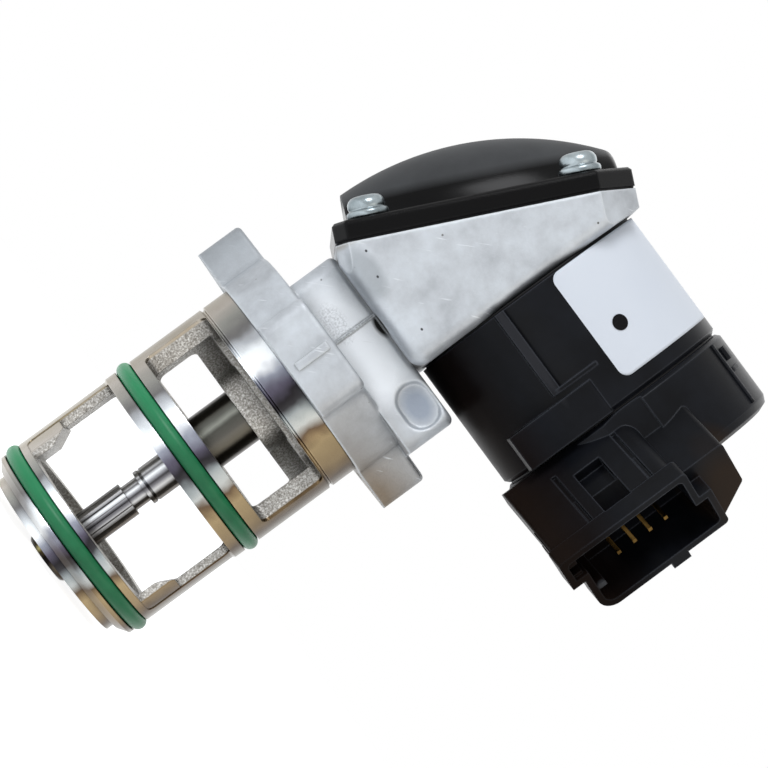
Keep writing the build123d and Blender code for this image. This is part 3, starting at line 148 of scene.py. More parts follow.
# ---- marks of use, and painted light and shade -----------------------------------------------
# Centre and half size in mm, strength and colour, in the order they are laid on.
CASTING_MARKS_AND_LIGHT = [
    ((-18.5, -22.0, 31.0), (4.0, 14.0, 7.0), 1.0, "#7a6a50"),      # painted warm reflection on the case's far side
    ((-8.5, -29.5, 28.0), (8.5, 3.5, 4.2), 0.6, "#8d9398"),        # painted shade on a facet over the crease
    ((-12.6, -30.0, 31.0), (0.42, 1.2, 0.34), 1.0, "#3c3d40"),     # three pits
    ((-6.2, -30.0, 29.6), (0.42, 1.2, 0.34), 1.0, "#3c3d40"),
    ((9.6, -30.0, 30.6), (0.42, 1.2, 0.34), 1.0, "#3c3d40"),
    ((3.0, -21.5, 24.1), (3.8, 5.5, 1.9), 1.0, "#1d1b1a"),         # painted shadow in the crease
    ((23.2, -20.0, 20.0), (6.2, 3.0, 4.6), 1.0, "#99a2af"),        # painted cool reflection on the floor of the boss's hollow
]
# Where painted light brightens the neck's front face.
NECK_FRONT_LIGHT = ((4.0, -20.2, 17.0), (20.0, 2.0, 9.0))
SCUFF = ((-3.6, -20.3, 15.6), (6.5, 3.0, 3.4))
PARTING_LINE = ((0.0, -20.2, 18.5), (0.9, 1.4, 8.0))
# Where the motor's ridge is drawn lighter: partly rubbed wear, partly a painted highlight on its rounded top.
MOTOR_RIDGE_RUB_AND_HIGHLIGHT = ((27.0, -31.4, 47.0), (18.0, 2.0, 1.7))
# Where a painted warm reflection lies round the cap's front.
CAP_FRONT_REFLECTION = ((79.0, -24.0, 66.0), (16.0, 24.0, 11.0))
# The three key ribs in the connector's mouth, where painted highlights lie: the mouth's middle, its way
# across, and where each rib stands.
MOUTH_MIDDLE = np.array([78.4, -42.3, 28.6])
MOUTH_ACROSS = np.array([0.743, 0.669, 0.0])
KEY_RIBS = (-7.6, -2.9, 3.8)
KEY_RIB_HALF = (1.9, 1.9, 1.5)


# ---- small helpers ---------------------------------------------------------------------------
def linear(code):
    """A colour written as an sRGB hex code, as linear red, green, blue and a full alpha."""
    parts = [int(code[k:k + 2], 16) / 255 for k in (1, 3, 5)]
    return [c / 12.92 if c <= 0.04045 else ((c + 0.055) / 1.055) ** 2.4 for c in parts] + [1.0]


# What add() knows of each kind of node: Blender's type, the output or outputs that it hands back, the
# inputs in the order that it takes them, and the usual settings.
KINDS = {
    "principled": ("BsdfPrincipled", "BSDF", (), {}),
    "diffuse": ("BsdfDiffuse", "BSDF", ("Color",), {}),
    "emission": ("Emission", "Emission", ("Color", "Strength"), {}),
    "background": ("Background", "Background", ("Color", "Strength"), {}),
    "sum of shaders": ("AddShader", "Shader", (0, 1), {}),
    "mix of shaders": ("MixShader", "Shader", ("Fac", 1, 2), {}),
    "surface": ("OutputMaterial", (), ("Surface",), {}),
    "world": ("OutputWorld", (), ("Surface",), {}),
    "coordinates": ("TexCoord", "Object", (), {}),
    "true normal": ("NewGeometry", "Normal", (), {}),
    "rays": ("LightPath", ("Is Camera Ray", "Is Glossy Ray", "Is Transmission Ray"), (), {}),
    "open sky": ("AmbientOcclusion", "AO", ("Distance",), {"samples": 8}),
    "bevel": ("Bevel", "Normal", ("Radius",), {"samples": 6}),
    "bump": ("Bump", "Normal", ("Height", "Distance", "Strength", "Normal"), {}),
    "noise": ("TexNoise", "Fac", ("Vector", "Scale", "Detail", "Roughness"), {}),
    "cells": ("TexVoronoi", "Distance", ("Vector", "Scale"), {}),
    "ramp": ("ValToRGB", "Color", ("Fac",), {}),
    "range": ("MapRange", "Result", ("Value", "From Min", "From Max", "To Min", "To Max"), {}),
    "mix": ("Mix", "Result", ("Factor", "A", "B"), {"data_type": "RGBA"}),
    "math": ("Math", "Value", (0, 1), {}),
    "vector": ("VectorMath", "Vector", (0, 1), {}),
    "measure": ("VectorMath", "Value", (0, 1), {}),
    "split": ("SeparateXYZ", ("X", "Y", "Z"), ("Vector",), {}),
    "join": ("CombineXYZ", "Vector", ("X", "Y"), {}),
    "turn": ("Mapping", "Vector", ("Vector", "Rotation"), {}),
    "stretch": ("Mapping", "Vector", ("Vector", "Scale"), {}),
}


def fill(tree, node, inputs):
    """Fills a node's inputs by name or number: outputs of other nodes are linked, hex colours made linear."""
    for socket, value in inputs.items():
        if isinstance(value, bpy.types.NodeSocket):
            tree.links.new(value, node.inputs[socket])
        else:
            node.inputs[socket].default_value = linear(value) if isinstance(value, str) else value


def add(tree, kind, *values, stops=(), **settings):
    """Adds one node of a kind from KINDS, with its settings and links, and gives back its output or outputs.
    Values fill the inputs in the kind's order, and stops are a ramp's places and colours or greys."""
    type_name, outputs, sockets, usual = KINDS[kind]
    node = tree.nodes.new("ShaderNode" + type_name)
    for name, value in {**usual, **settings}.items():
        setattr(node, name, value)
    fill(tree, node, dict(zip(sockets, values)))
    for k, (place, colour) in enumerate(stops):
        element = node.color_ramp.elements[k] if k < 2 else node.color_ramp.elements.new(place)
        element.position = place
        element.color = linear(colour) if isinstance(colour, str) else [colour] * 3 + [1.0]
    return node.outputs[outputs] if isinstance(outputs, str) else [node.outputs[name] for name in outputs]


def new_finish(name):
    """An empty node material with its tree, its shader and the object coordinates in metres."""
    finish = bpy.data.materials.new(name)
    finish.use_nodes = True
    tree = finish.node_tree
    tree.nodes.clear()
    surface = add(tree, "principled")
    add(tree, "surface", surface)
    return finish, tree, surface.node, add(tree, "coordinates")


def per(size_mm):
    """The scale of a pattern whose features are size_mm across."""
    return 1 / (size_mm * MM)


def bumped(tree, shader, heights, edge_mm=0.0):
    """Chains bumps on the shader's normal, over edges that look rounded to edge_mm: heights are pairs of a
    0 to 1 pattern and its depth in mm."""
    normal = [add(tree, "bevel", edge_mm * MM)] if edge_mm else []
    for pattern, depth in heights:
        normal = [add(tree, "bump", pattern, depth * MM, 1.0, *normal)]
    fill(tree, shader, {"Normal": normal[0]})


def spot(tree, place, centre, half, strength=1.0):
    """The strength inside an ellipsoid given by its centre and half sizes in mm, fading to 0 at its edge over
    the outer two fifths."""
    off = add(tree, "vector", place, [c * MM for c in centre], operation="SUBTRACT")
    unit = add(tree, "vector", off, [h * MM for h in half], operation="DIVIDE")
    far = add(tree, "measure", unit, operation="LENGTH")
    return add(tree, "range", far, 1.0, 0.6, 0.0, strength)


def edges(tree, width_mm):
    """1 along outside and inside edges, 0 on flat ground: the cosine between a rounded normal and the true
    one drops from about 1 as they lean apart."""
    soft = add(tree, "bevel", width_mm * MM)
    same = add(tree, "measure", soft, add(tree, "true normal"), operation="DOT_PRODUCT")
    return add(tree, "range", same, 0.995, 0.90)


def shade_in_hollows(tree, colour, reach_mm, floor=0.0):
    """Painted shade: the colour darkened where walls stand close round a point, down to floor."""
    open_sky = add(tree, "open sky", reach_mm * MM)
    shade = add(tree, "ramp", open_sky, stops=[(0.15, floor), (0.85, 1.0)])
    return add(tree, "mix", 1.0, colour, shade, blend_type="MULTIPLY")


def round_z(tree, place):
    """Height, radius and angle of a place round the valve's axis, the angle from -Y towards +X."""
    x, y, height = add(tree, "split", place)
    radius = add(tree, "measure", add(tree, "join", x, y), operation="LENGTH")
    minus_y = add(tree, "math", y, -1.0, operation="MULTIPLY")
    return height, radius, add(tree, "math", x, minus_y, operation="ARCTAN2")


def put_in(name, points, faces, finish, body):
    """A smooth mesh object from an array of points in millimetres and lists of faces, riding on a body."""
    mesh = bpy.data.meshes.new(name)
    mesh.from_pydata((np.asarray(points, float).reshape(-1, 3) * MM).tolist(), [], faces)
    mesh.update()
    mesh.polygons.foreach_set("use_smooth", [True] * len(mesh.polygons))
    piece = bpy.data.objects.new(name, mesh)
    bpy.context.scene.collection.objects.link(piece)
    mesh.materials.append(finish)
    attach(piece, body)
    return piece


def grid_faces(rows, columns, wrap_rows=False, wrap_columns=False):
    """Four-sided faces of a rows by columns grid of points, joined end to end where it wraps."""
    r = np.arange(rows if wrap_rows else rows - 1)
    c = np.arange(columns if wrap_columns else columns - 1)
    r, c = np.meshgrid(r, c, indexing="ij")
    r2, c2 = (r + 1) % rows, (c + 1) % columns
    quads = np.stack([r * columns + c, r2 * columns + c, r2 * columns + c2, r * columns + c2], -1)
    return quads.reshape(-1, 4).tolist()


def tube_faces(rows, columns):
    """Faces of a tube of rows rings of columns points each, with a face across each end."""
    last = (rows - 1) * columns
    return grid_faces(rows, columns, False, True) + [list(range(columns)), list(range(last, last + columns))]


def full_round(steps):
    """Evenly spaced angles of a full turn, as one row."""
    return np.linspace(0, 2 * np.pi, steps, endpoint=False)[None, :]


def on_motor(x, radius, angle):
    """Points round the motor's axis: x along it, and the angle up from the front."""
    x, y, z = np.broadcast_arrays(x, -radius * np.cos(angle), MOTOR_Z + radius * np.sin(angle))
    return np.stack([x, y, z], -1)


def on_cover(u, v, n):
    """Points of the cover's own plane as x, y and z: foot + u along + v across + n outwards."""
    u, v, n = (np.asarray(a, float)[..., None] for a in np.broadcast_arrays(u, v, n))
    return COVER_FOOT + u * COVER_U + v * COVER_V + n * COVER_N


def outward(piece):
    """Merges doubles and turns every face of a closed piece outwards."""
    work = bmesh.new()
    work.from_mesh(piece.data)
    bmesh.ops.remove_doubles(work, verts=work.verts, dist=1e-7)
    bmesh.ops.dissolve_degenerate(work, edges=work.edges, dist=1e-8)
    bmesh.ops.recalc_face_normals(work, faces=work.faces)
    work.to_mesh(piece.data)
    work.free()


def thickened(piece, thickness):
    """Gives an open sheet its thickness, outwards."""
    shell = piece.modifiers.new("Solidify", "SOLIDIFY")
    shell.thickness = thickness
    shell.offset = 1.0


# ---- finishes --------------------------------------------------------------------------------
def round_axis(streaks):
    """Ramp stops from pairs of an angle round the valve's axis, in degrees from -Y towards +X, and a
    colour."""
    return [((angle + 180) / 360, colour) for angle, colour in streaks]


# Painted reflections of the turned and ground surfaces: bright and dark streaks by the angle round the axis.
LAND_REFLECTIONS = round_axis([
    (-180, "#9c9fa6"), (-166, "#dfe3e6"), (-154, "#7a7a78"), (-136, "#a8a29a"), (-110, "#8f8870"),
    (-74, "#877c66"), (-60, "#a8a29a"), (-46, "#8d8d88"), (-36, "#6b6a6a"), (-28, "#b0b4b9"),
    (-20, "#eaeff2"), (-13, "#f6f9fb"), (-6, "#9094a0"), (1, "#585462"), (8, "#2b292b"),
    (13, "#3d3c3e"), (18, "#8b9294"), (25, "#a9adac"), (31, "#5b4b3b"), (39, "#9d8a69"),
    (55, "#8a785c"), (70, "#4a3a28"), (84, "#5b5342"), (104, "#9d8a69"), (128, "#6b6a6a"),
    (144, "#c2c6c9"), (160, "#5f5a58"), (180, "#9c9fa6")])
TUBE_REFLECTIONS = round_axis([
    (-180, "#4a4a45"), (-70, "#34302a"), (-40, "#3d3b36"), (-24, "#5b5c57"), (-14, "#84867f"),
    (-5, "#4d4d48"), (15, "#5b5954"), (30, "#55524a"), (44, "#332f29"), (75, "#4a463f"),
    (180, "#4a4a45")])
NUT_REFLECTIONS = round_axis([
    (-180, "#5a5346"), (-60, "#3a342a"), (-38, "#4c4433"), (-27, "#d6cc8c"), (-18, "#5c5138"),
    (-4, "#1d1a18"), (10, "#2a2624"), (28, "#6f6759"), (50, "#55493a"), (180, "#5a5346")])
ROD_REFLECTIONS = round_axis([
    (-180, "#8a8a88"), (-75, "#4a4845"), (-55, "#8d8c8a"), (-40, "#c9cacc"), (-28, "#5b5a5c"),
    (-16, "#e9ecef"), (-6, "#9a9ba0"), (4, "#3c3a3c"), (14, "#77767a"), (26, "#b8b9ba"),
    (40, "#4b4743"), (60, "#77716a"), (85, "#45413c"), (180, "#8a8a88")])


def die_cast_aluminium():
    """Die-cast aluminium, shot-blasted: pale and satin, with soft grey mottling, pores and handling
    scratches, painted shade in its creases, and painted light, shade and warm reflections in places. The
    blasting's grain is drawn at 0.5 mm, coarser than the real one, so that it shows."""
    finish, tree, shader, place = new_finish("die_cast_aluminium_blasted")
    mottle = add(tree, "noise", place, per(9.0), 6.0, 0.6)
    grain = add(tree, "noise", place, per(0.5), 2.0, 0.55)
    colour = add(tree, "ramp", mottle, stops=[(0.30, "#a9adb2"), (0.50, "#bcc1c6"), (0.70, "#cad0d6")])
    # A painted warm reflection, browner and darker, low down and on the side away from the cover.
    x, _, z = add(tree, "split", place)
    low = add(tree, "range", z, 16 * MM, 2 * MM)
    right = add(tree, "range", x, 4 * MM, 34 * MM)
    side = add(tree, "math", low, right, operation="MULTIPLY")
    colour = add(tree, "mix", side, colour, "#85796a")
    # Painted light brightens the neck's front, and painted shade greys the flange's far end.
    colour = add(tree, "mix", spot(tree, place, *NECK_FRONT_LIGHT, strength=0.8), colour, "#eef2f6")
    far_end_shade = add(tree, "range", x, -22 * MM, -36 * MM, 0.0, 0.6)
    colour = add(tree, "mix", far_end_shade, colour, "#7f8488")
    # Scratches: thin straight lines, the tips of a noise stretched along one slanted way, shown here and
    # there.
    slanted = add(tree, "turn", place, (0.2, 0.75, 0.3))
    drawn = add(tree, "stretch", slanted, (1.0, 1.0, 14.0))
    line = add(tree, "range", add(tree, "noise", drawn, per(7.0), 0.0, 0.55), 0.755, 0.785)
    few = add(tree, "range", add(tree, "noise", place, per(6.0), 1.0, 0.55), 0.52, 0.66, 0.0, 0.7)
    scratch = add(tree, "math", line, few, operation="MULTIPLY")
    colour = add(tree, "mix", scratch, colour, "#dde1e5")
    # Pits: small dark dots, a few per square centimetre.
    dots = add(tree, "cells", place, per(3.2))
    some = add(tree, "range", add(tree, "noise", place, per(5.0), 1.0, 0.55), 0.60, 0.68)
    pit = add(tree, "math", add(tree, "range", dots, 0.11, 0.07), some, operation="MULTIPLY")
    colour = add(tree, "mix", pit, colour, "#4d4b48")
    # A speckled scuff and the parting line's grime on the neck, then the marks and the painted light and
    # shade from their table.
    for (centre, half), pattern, shade in (
            (SCUFF, add(tree, "range", grain, 0.42, 0.62, 0.0, 0.34), "#7c7f82"),
            (PARTING_LINE, add(tree, "range", grain, 0.35, 0.55, 0.3, 0.8), "#4a4d51")):
        grime = add(tree, "math", spot(tree, place, centre, half), pattern, operation="MULTIPLY")
        colour = add(tree, "mix", grime, colour, shade)
    for centre, half, strength, shade in CASTING_MARKS_AND_LIGHT:
        colour = add(tree, "mix", spot(tree, place, centre, half, strength), colour, shade)
    # Painted highlight along the edges.
    edge_highlit = add(tree, "mix", edges(tree, 0.9), colour, "#d5dade")
    # Painted shade darkens the creases. Half metallic, because the blasted skin scatters light as a pale
    # paint does.
    fill(tree, shader, {"Base Color": shade_in_hollows(tree, edge_highlit, 6.0, 0.32), "Metallic": 0.55,
                        "Roughness": add(tree, "range", grain, 0.3, 0.7, 0.40, 0.54)})
    bumped(tree, shader, [(mottle, 0.14), (grain, 0.03)], 1.1)
    return finish


def cast_stainless():
    """Investment-cast stainless steel with turned lands: speckled cast walls inside, whose brightest specks
    are painted glints, with painted shade where walls stand close; a guide tube inside with darker painted
    reflections; and lands outside painted with the long bright and dark reflections of a turned ring, by the
    angle round the axis."""
    finish, tree, shader, place = new_finish("cast_stainless_turned_lands")
    height, radius, angle = round_z(tree, place)
    # The painted reflections wander a little along the axis, by a coarse pattern, in radians.
    wander = add(tree, "range", add(tree, "noise", place, per(7.0), 2.0, 0.55), 0.3, 0.7, -0.05, 0.05)
    angle = add(tree, "math", angle, wander, operation="ADD")
    turn = add(tree, "range", angle, -math.pi, math.pi)
    land = add(tree, "ramp", turn, stops=LAND_REFLECTIONS)
    tube = add(tree, "ramp", turn, stops=TUBE_REFLECTIONS)
    grain = add(tree, "noise", place, per(0.45), 3.0, 0.7)
    # A speckled grain whose brightest specks are painted glints; painted shade darkens it where walls stand
    # close.
    grain_and_glints = add(tree, "ramp", grain, stops=[(0.34, "#7d7a74"), (0.50, "#a9a6a1"), (0.68, "#e6e6e3")])
    cast = shade_in_hollows(tree, grain_and_glints, 9.0, 0.10)
    foot = add(tree, "range", height, *(z * MM for z in FOOT_Z))
    outside = add(tree, "range", radius, *(r * MM for r in LAND_R))
    turned = add(tree, "math", outside, foot, operation="MAXIMUM")
    slim = add(tree, "range", radius, *(r * MM for r in TUBE_R))
    colour = add(tree, "mix", turned, add(tree, "mix", slim, cast, tube), land)
    # The lowest rim goes browner towards its bottom.
    rim_brown = add(tree, "range", height, *(z * MM for z in RIM_Z), 0.0, 0.38)
    colour = add(tree, "mix", rim_brown, colour, "#4d4033")
    smooth = add(tree, "math", turned, slim, operation="MAXIMUM")
    fill(tree, shader, {"Base Color": colour, "Metallic": 1.0,
                        "Roughness": add(tree, "range", smooth, 0.0, 1.0, 0.46, 0.24)})
    rough = add(tree, "math", grain, add(tree, "range", smooth, 0.0, 1.0, 1.0, 0.04), operation="MULTIPLY")
    bumped(tree, shader, [(rough, 0.10)], 0.35)
    return finish


def seal_rubber():
    """Fluoro-rubber O-ring, smooth moulded: an even green, painted brighter towards the light, with a soft
    sheen along the ring."""
    finish, tree, shader, place = new_finish("fluoro_rubber_moulded")
    tint = add(tree, "ramp", add(tree, "noise", place, per(6.0), 3.0, 0.55),
               stops=[(0.3, "#226b45"), (0.7, "#2a7a50")])
    x, _, _ = add(tree, "split", place)
    # Painted light: the green is drawn brighter towards -x.
    lit = add(tree, "range", x, 4 * MM, -24 * MM, 0.0, 0.7)
    fill(tree, shader, {"Base Color": add(tree, "mix", lit, tint, "#37a06b"), "Roughness": 0.36,
                        "Specular IOR Level": 0.3, "IOR": 1.42})
    bumped(tree, shader, [(add(tree, "noise", place, per(0.8), 3.0, 0.55), 0.01)])
    return finish


def plain_metal(name, dark, light, rough, size_mm, depth_mm, squeeze=(1.0, 1.0, 1.0), hollow_shade_floor=0.35):
    """A metal whose colour wanders between two shades, with painted shade in its hollows and tool marks
    squeezed along one way."""
    finish, tree, shader, place = new_finish(name)
    marks = add(tree, "noise", add(tree, "stretch", place, squeeze), per(size_mm), 4.0, 0.55)
    wander = add(tree, "noise", place, per(5.0), 4.0, 0.55)
    tint = add(tree, "ramp", wander, stops=[(0.3, dark), (0.7, light)])
    fill(tree, shader, {"Base Color": shade_in_hollows(tree, tint, 4.0, hollow_shade_floor), "Metallic": 1.0,
                        "Roughness": add(tree, "range", marks, 0.0, 1.0, rough - 0.06, rough + 0.08)})
    bumped(tree, shader, [(marks, depth_mm)], 0.25)
    return finish


def turned_steel():
    """Ground stainless steel rod and discs, painted with narrow bright and dark reflections by the angle
    round the axis, a darker nut with a painted gold glint, and painted shade in the hollows.
    """
    finish, tree, shader, place = new_finish("stainless_steel_ground")
    height, radius, angle = round_z(tree, place)
    turn = add(tree, "range", angle, -math.pi, math.pi)
    rod = add(tree, "ramp", turn, stops=ROD_REFLECTIONS)
    disc = add(tree, "ramp", turn, stops=LAND_REFLECTIONS)
    nut = add(tree, "ramp", turn, stops=NUT_REFLECTIONS)
    wide = add(tree, "mix", add(tree, "range", radius, *(r * MM for r in DISC_R)), rod, disc)
    colour = add(tree, "mix", add(tree, "range", height, *(z * MM for z in NUT_Z)), wide, nut)
    fill(tree, shader, {"Base Color": shade_in_hollows(tree, colour, 3.0, 0.25), "Metallic": 1.0, "Roughness": 0.24})
    # Fine rings of the grinding, 12 times closer along the axis than across it.
    rings = add(tree, "noise", add(tree, "stretch", place, (1.0, 1.0, 12.0)), per(4.0), 3.0, 0.55)
    bumped(tree, shader, [(rings, 0.006)], 0.2)
    return finish


def plain_moulding(name, dark, light, rough, grain_mm, depth_mm, shine=0.5, coat=0.0, marks_and_light=None):
    """A moulded plastic or rubber with a fine spark-eroded grain and faint patches of wear. A function of
    wear and painted light may change its colour and shine."""
    finish, tree, shader, place = new_finish(name)
    grain = add(tree, "noise", place, per(grain_mm), 2.0, 0.55)
    wear = add(tree, "noise", place, per(14.0), 5.0, 0.55)
    colour = add(tree, "ramp", wear, stops=[(0.35, dark), (0.70, light)])
    if marks_and_light:
        colour, shine = marks_and_light(tree, place, colour, shine)
    fill(tree, shader, {"Base Color": colour, "IOR": 1.5, "Specular IOR Level": shine, "Coat Weight": coat,
                        "Roughness": add(tree, "range", wear, 0.3, 0.7, rough - 0.05, rough + 0.07)})
    bumped(tree, shader, [(grain, depth_mm)], 0.45)
    return finish


def housing_wear_and_light(tree, place, colour, shine):
    """The motor housing's and cap's wear and painted light: a ridge drawn lighter, partly rubbed and partly a
    painted highlight on its rounded top, painted highlights along the edges and on the key ribs, a painted
    warm reflection low down and round the cap's front, and less shine low down."""
    # A lighter ridge, partly rubbed wear and partly a painted highlight.
    colour = add(tree, "mix", spot(tree, place, *MOTOR_RIDGE_RUB_AND_HIGHLIGHT), colour, "#2a2b2f")
    # Painted highlight along the edges.
    colour = add(tree, "mix", edges(tree, 0.6), colour, "#3a3d43")
    _, _, z = add(tree, "split", place)
    # Painted warm reflection low down.
    colour = add(tree, "mix", add(tree, "range", z, 40 * MM, 26 * MM, 0.0, 0.8), colour, "#1c130d")
    # Painted highlights on the key ribs.
    for across in KEY_RIBS:
        rib_highlight = spot(tree, place, (MOUTH_MIDDLE + MOUTH_ACROSS * across).tolist(), KEY_RIB_HALF)
        colour = add(tree, "mix", rib_highlight, colour, "#4a4b4e")
    # Painted warm reflection round the cap's front.
    colour = add(tree, "mix", spot(tree, place, *CAP_FRONT_REFLECTION), colour, "#2a1e13")
    return colour, add(tree, "range", z, 46 * MM, 32 * MM, shine, 0.02)


def nylon_cover():
    """Glass-filled nylon cover, satin and dusty on its crown, glossy black on its plate and hollow foot."""
    finish, tree, shader, place = new_finish("glass_filled_nylon_satin")
    off = add(tree, "vector", place, (COVER_FOOT * MM).tolist(), operation="SUBTRACT")
    out = add(tree, "measure", off, COVER_N.tolist(), operation="DOT_PRODUCT")
    crown = add(tree, "range", out, *(n * MM for n in COVER_CROWN_N))
    matte = add(tree, "ramp", add(tree, "noise", place, per(12.0), 5.0, 0.55),
                stops=[(0.3, "#2e3032"), (0.7, "#3b3d3f")])
    fill(tree, shader, {"Base Color": add(tree, "mix", crown, "#060607", matte), "IOR": 1.5,
                        "Roughness": add(tree, "range", crown, 0.0, 1.0, 0.22, 0.55),
                        "Specular IOR Level": add(tree, "range", crown, 0.0, 1.0, 0.11, 0.30)})
    bumped(tree, shader, [(add(tree, "noise", place, per(0.5), 2.0, 0.55), 0.012)], 1.1)
    return finish


def plate_film(colour):
    """Polyester film on the plate, satin printed: a cool near-white that stays even."""
    finish, tree, shader, place = new_finish("polyester_film_satin")
    tint = add(tree, "mix", add(tree, "noise", place, per(20.0), 3.0, 0.55), colour, "#e3e9f1")
    fill(tree, shader, {"Base Color": tint, "Roughness": 0.5, "Specular IOR Level": 0.12})
    bumped(tree, shader, [(add(tree, "noise", place, per(2.5), 3.0, 0.55), 0.004)])
    return finish


def mark_ink():
    """Printing ink, matt: a black that doesn't catch the light."""
    finish, tree, shader, place = new_finish("printing_ink_matt")
    tint = add(tree, "ramp", add(tree, "noise", place, per(0.8), 3.0, 0.55),
               stops=[(0.3, "#08080a"), (0.7, "#111113")])
    fill(tree, shader, {"Base Color": tint, "Roughness": 0.7, "Specular IOR Level": 0.1})
    return finish


def build_finishes():
    """Every finish by the record's slot name."""
    return {
        "cast_aluminium": die_cast_aluminium(),
        "cast_steel": cast_stainless(),
        "green_rubber": seal_rubber(),
        # Warm and dull, with the open pores of a pressed powder.
        "bronze": plain_metal("sintered_bronze", "#8d6c3c", "#a98a55", 0.42, 0.6, 0.02),
        # Soft black that hardly shines.
        "black_rubber": plain_moulding("nitrile_rubber_moulded", "#0b0b0c", "#151517", 0.55, 0.5, 0.01, 0.2),
        "bright_steel": turned_steel(),
        # Grey wire with a drawn, half-bright skin.
        "spring_steel": plain_metal("spring_wire_drawn", "#5f6064", "#8b8c90", 0.34, 1.2, 0.008),
        "black_cover": nylon_cover(),
        # Cool, bright and slightly uneven plating.
        "zinc_steel": plain_metal("steel_zinc_plated", "#727c80", "#aab4b8", 0.28, 1.1, 0.02, hollow_shade_floor=0.10),
        # Milky white plastic with a soft shine.
        "gear_plastic": plain_moulding("acetal_natural_moulded", "#cfc8b3", "#ddd7c5", 0.40, 0.8, 0.006),
        # Near-black with a fine grain, with a painted highlight along its edges.
        "black_plastic": plain_moulding("pbt_glass_filled_moulded", "#0b0c0f", "#15171c", 0.34, 0.55, 0.012,
                                        0.10, marks_and_light=housing_wear_and_light),
        # Charcoal and dull.
        "magnet": plain_metal("ferrite_ground", "#2b2b2d", "#3c3c3f", 0.55, 0.6, 0.02),
        # Thin sheets stacked along the shaft, drawn as marks squeezed that way.
        "core_steel": plain_metal("electrical_steel_stacked", "#5d5e62", "#84858a", 0.40, 0.5, 0.03,
                                  (12, 1, 1)),
        # Reddish strands that run along the shaft.
        "copper_wire": plain_metal("copper_enamelled", "#a04f24", "#c9733c", 0.30, 0.6, 0.03, (1, 8, 8)),
        # Pressed powder, nearly black and dull.
        "carbon": plain_metal("carbon_pressed", "#1c1c1d", "#2b2b2c", 0.62, 0.4, 0.02),
        # Thin gold over bronze, drawn dim as painted shade, since the pins stand deep in the socket.
        "gold_pins": plain_metal("bronze_gold_plated", "#4d3a1a", "#7d6234", 0.30, 1.5, 0.004, hollow_shade_floor=0.05),
        # Green lacquer with a clear gloss.
        "board": plain_moulding("glass_epoxy_solder_resist", "#0d3f20", "#14552c", 0.30, 1.0, 0.006, 0.5,
                                coat=0.4),
    }


FINISHES = {}


def finish_of(slot):
    """The finish of a slot, made on first use."""
    if not FINISHES:
        FINISHES.update(build_finishes())
    return FINISHES[slot]


# ---- sizes a user may change -----------------------------------------------------------------
class ValveStageSettings(PropertyGroup):
    floor_colour: StringProperty(name="Floor colour", description="Hex colour of the floor",
                                 default="#e9ebed")
    floor_size: FloatProperty(name="Floor size", description="Side of the square floor", default=3.0,
                              unit="LENGTH", subtype="DISTANCE")
    lens: FloatProperty(name="Lens", description="Focal length on a 36 mm sensor", default=146.7)


class ValvePieceSettings(PropertyGroup):
    ring_steps: IntProperty(name="Steps round a ring", description="Points round each O-ring", default=160)
    section_steps: IntProperty(name="Steps round a section", description="Points round a ring's section",
                               default=28)
    spring_steps: IntProperty(name="Steps along the spring", description="Points along the wire", default=260)
    wire_steps: IntProperty(name="Steps round the wire", description="Points round the wire", default=16)
    wire_radius: FloatProperty(name="Wire radius", description="Radius of the spring's wire",
                               default=0.88 * MM, unit="LENGTH", subtype="DISTANCE")
    screw_steps: IntProperty(name="Steps round a screw", description="Points round each screw", default=72)
    mark_radius: FloatProperty(name="Mark radius", description="Radius of the round mark on the plate",
                               default=1.95 * MM, unit="LENGTH", subtype="DISTANCE")
    label_colour: StringProperty(name="Plate colour", description="Hex colour of the bare plate",
                                 default="#dbe2ec")
    label_thickness: FloatProperty(name="Plate thickness", description="Thickness of the bare plate",
                                   default=0.12 * MM, unit="LENGTH", subtype="DISTANCE")


# ---- stage -----------------------------------------------------------------------------------
def white_to_camera(tree, lit, seen):
    """A mix of what lights the part and what the eye, mirrors and glass see."""
    camera, glossy, through = add(tree, "rays")
    eye = add(tree, "math", camera, glossy, operation="MAXIMUM")
    return add(tree, "mix of shaders", add(tree, "math", eye, through, operation="MAXIMUM"), lit, seen)


def floor_paint(colour):
    """Matt studio paint, an even pale grey. The eye sees a glow on top of it, which turns the lit floor white
    and leaves the shadow."""
    finish = bpy.data.materials.new("studio_floor_painted")
    finish.use_nodes = True
    tree = finish.node_tree
    tree.nodes.clear()
    paint = add(tree, "diffuse", colour)
    seen = add(tree, "sum of shaders", paint, add(tree, "emission", "#ffffff", FLOOR_GLOW))
    add(tree, "surface", white_to_camera(tree, paint, seen))
    return finish


def surroundings():
    """A soft pale sky that lights the part, and plain white where the eye sees it."""
    world = bpy.data.worlds.new("surroundings")
    world.use_nodes = True
    tree = world.node_tree
    tree.nodes.clear()
    lit = add(tree, "background", SKY, SKY_LIGHT)
    seen = add(tree, "background", "#ffffff", 1.0)
    add(tree, "world", white_to_camera(tree, lit, seen))
    return world


def lamp(name, place, target, size, watts, colour):
    """A square soft lamp at a place in metres, aimed at a target."""
    data = bpy.data.lights.new(name, "AREA")
    data.shape = "SQUARE"
    data.size = size
    data.energy = watts
    data.color = linear(colour)[:3]
    made = bpy.data.objects.new(name, data)
    made.location = place
    made.rotation_euler = (Vector(target) - Vector(place)).to_track_quat("-Z", "Y").to_euler()
    bpy.context.scene.collection.objects.link(made)


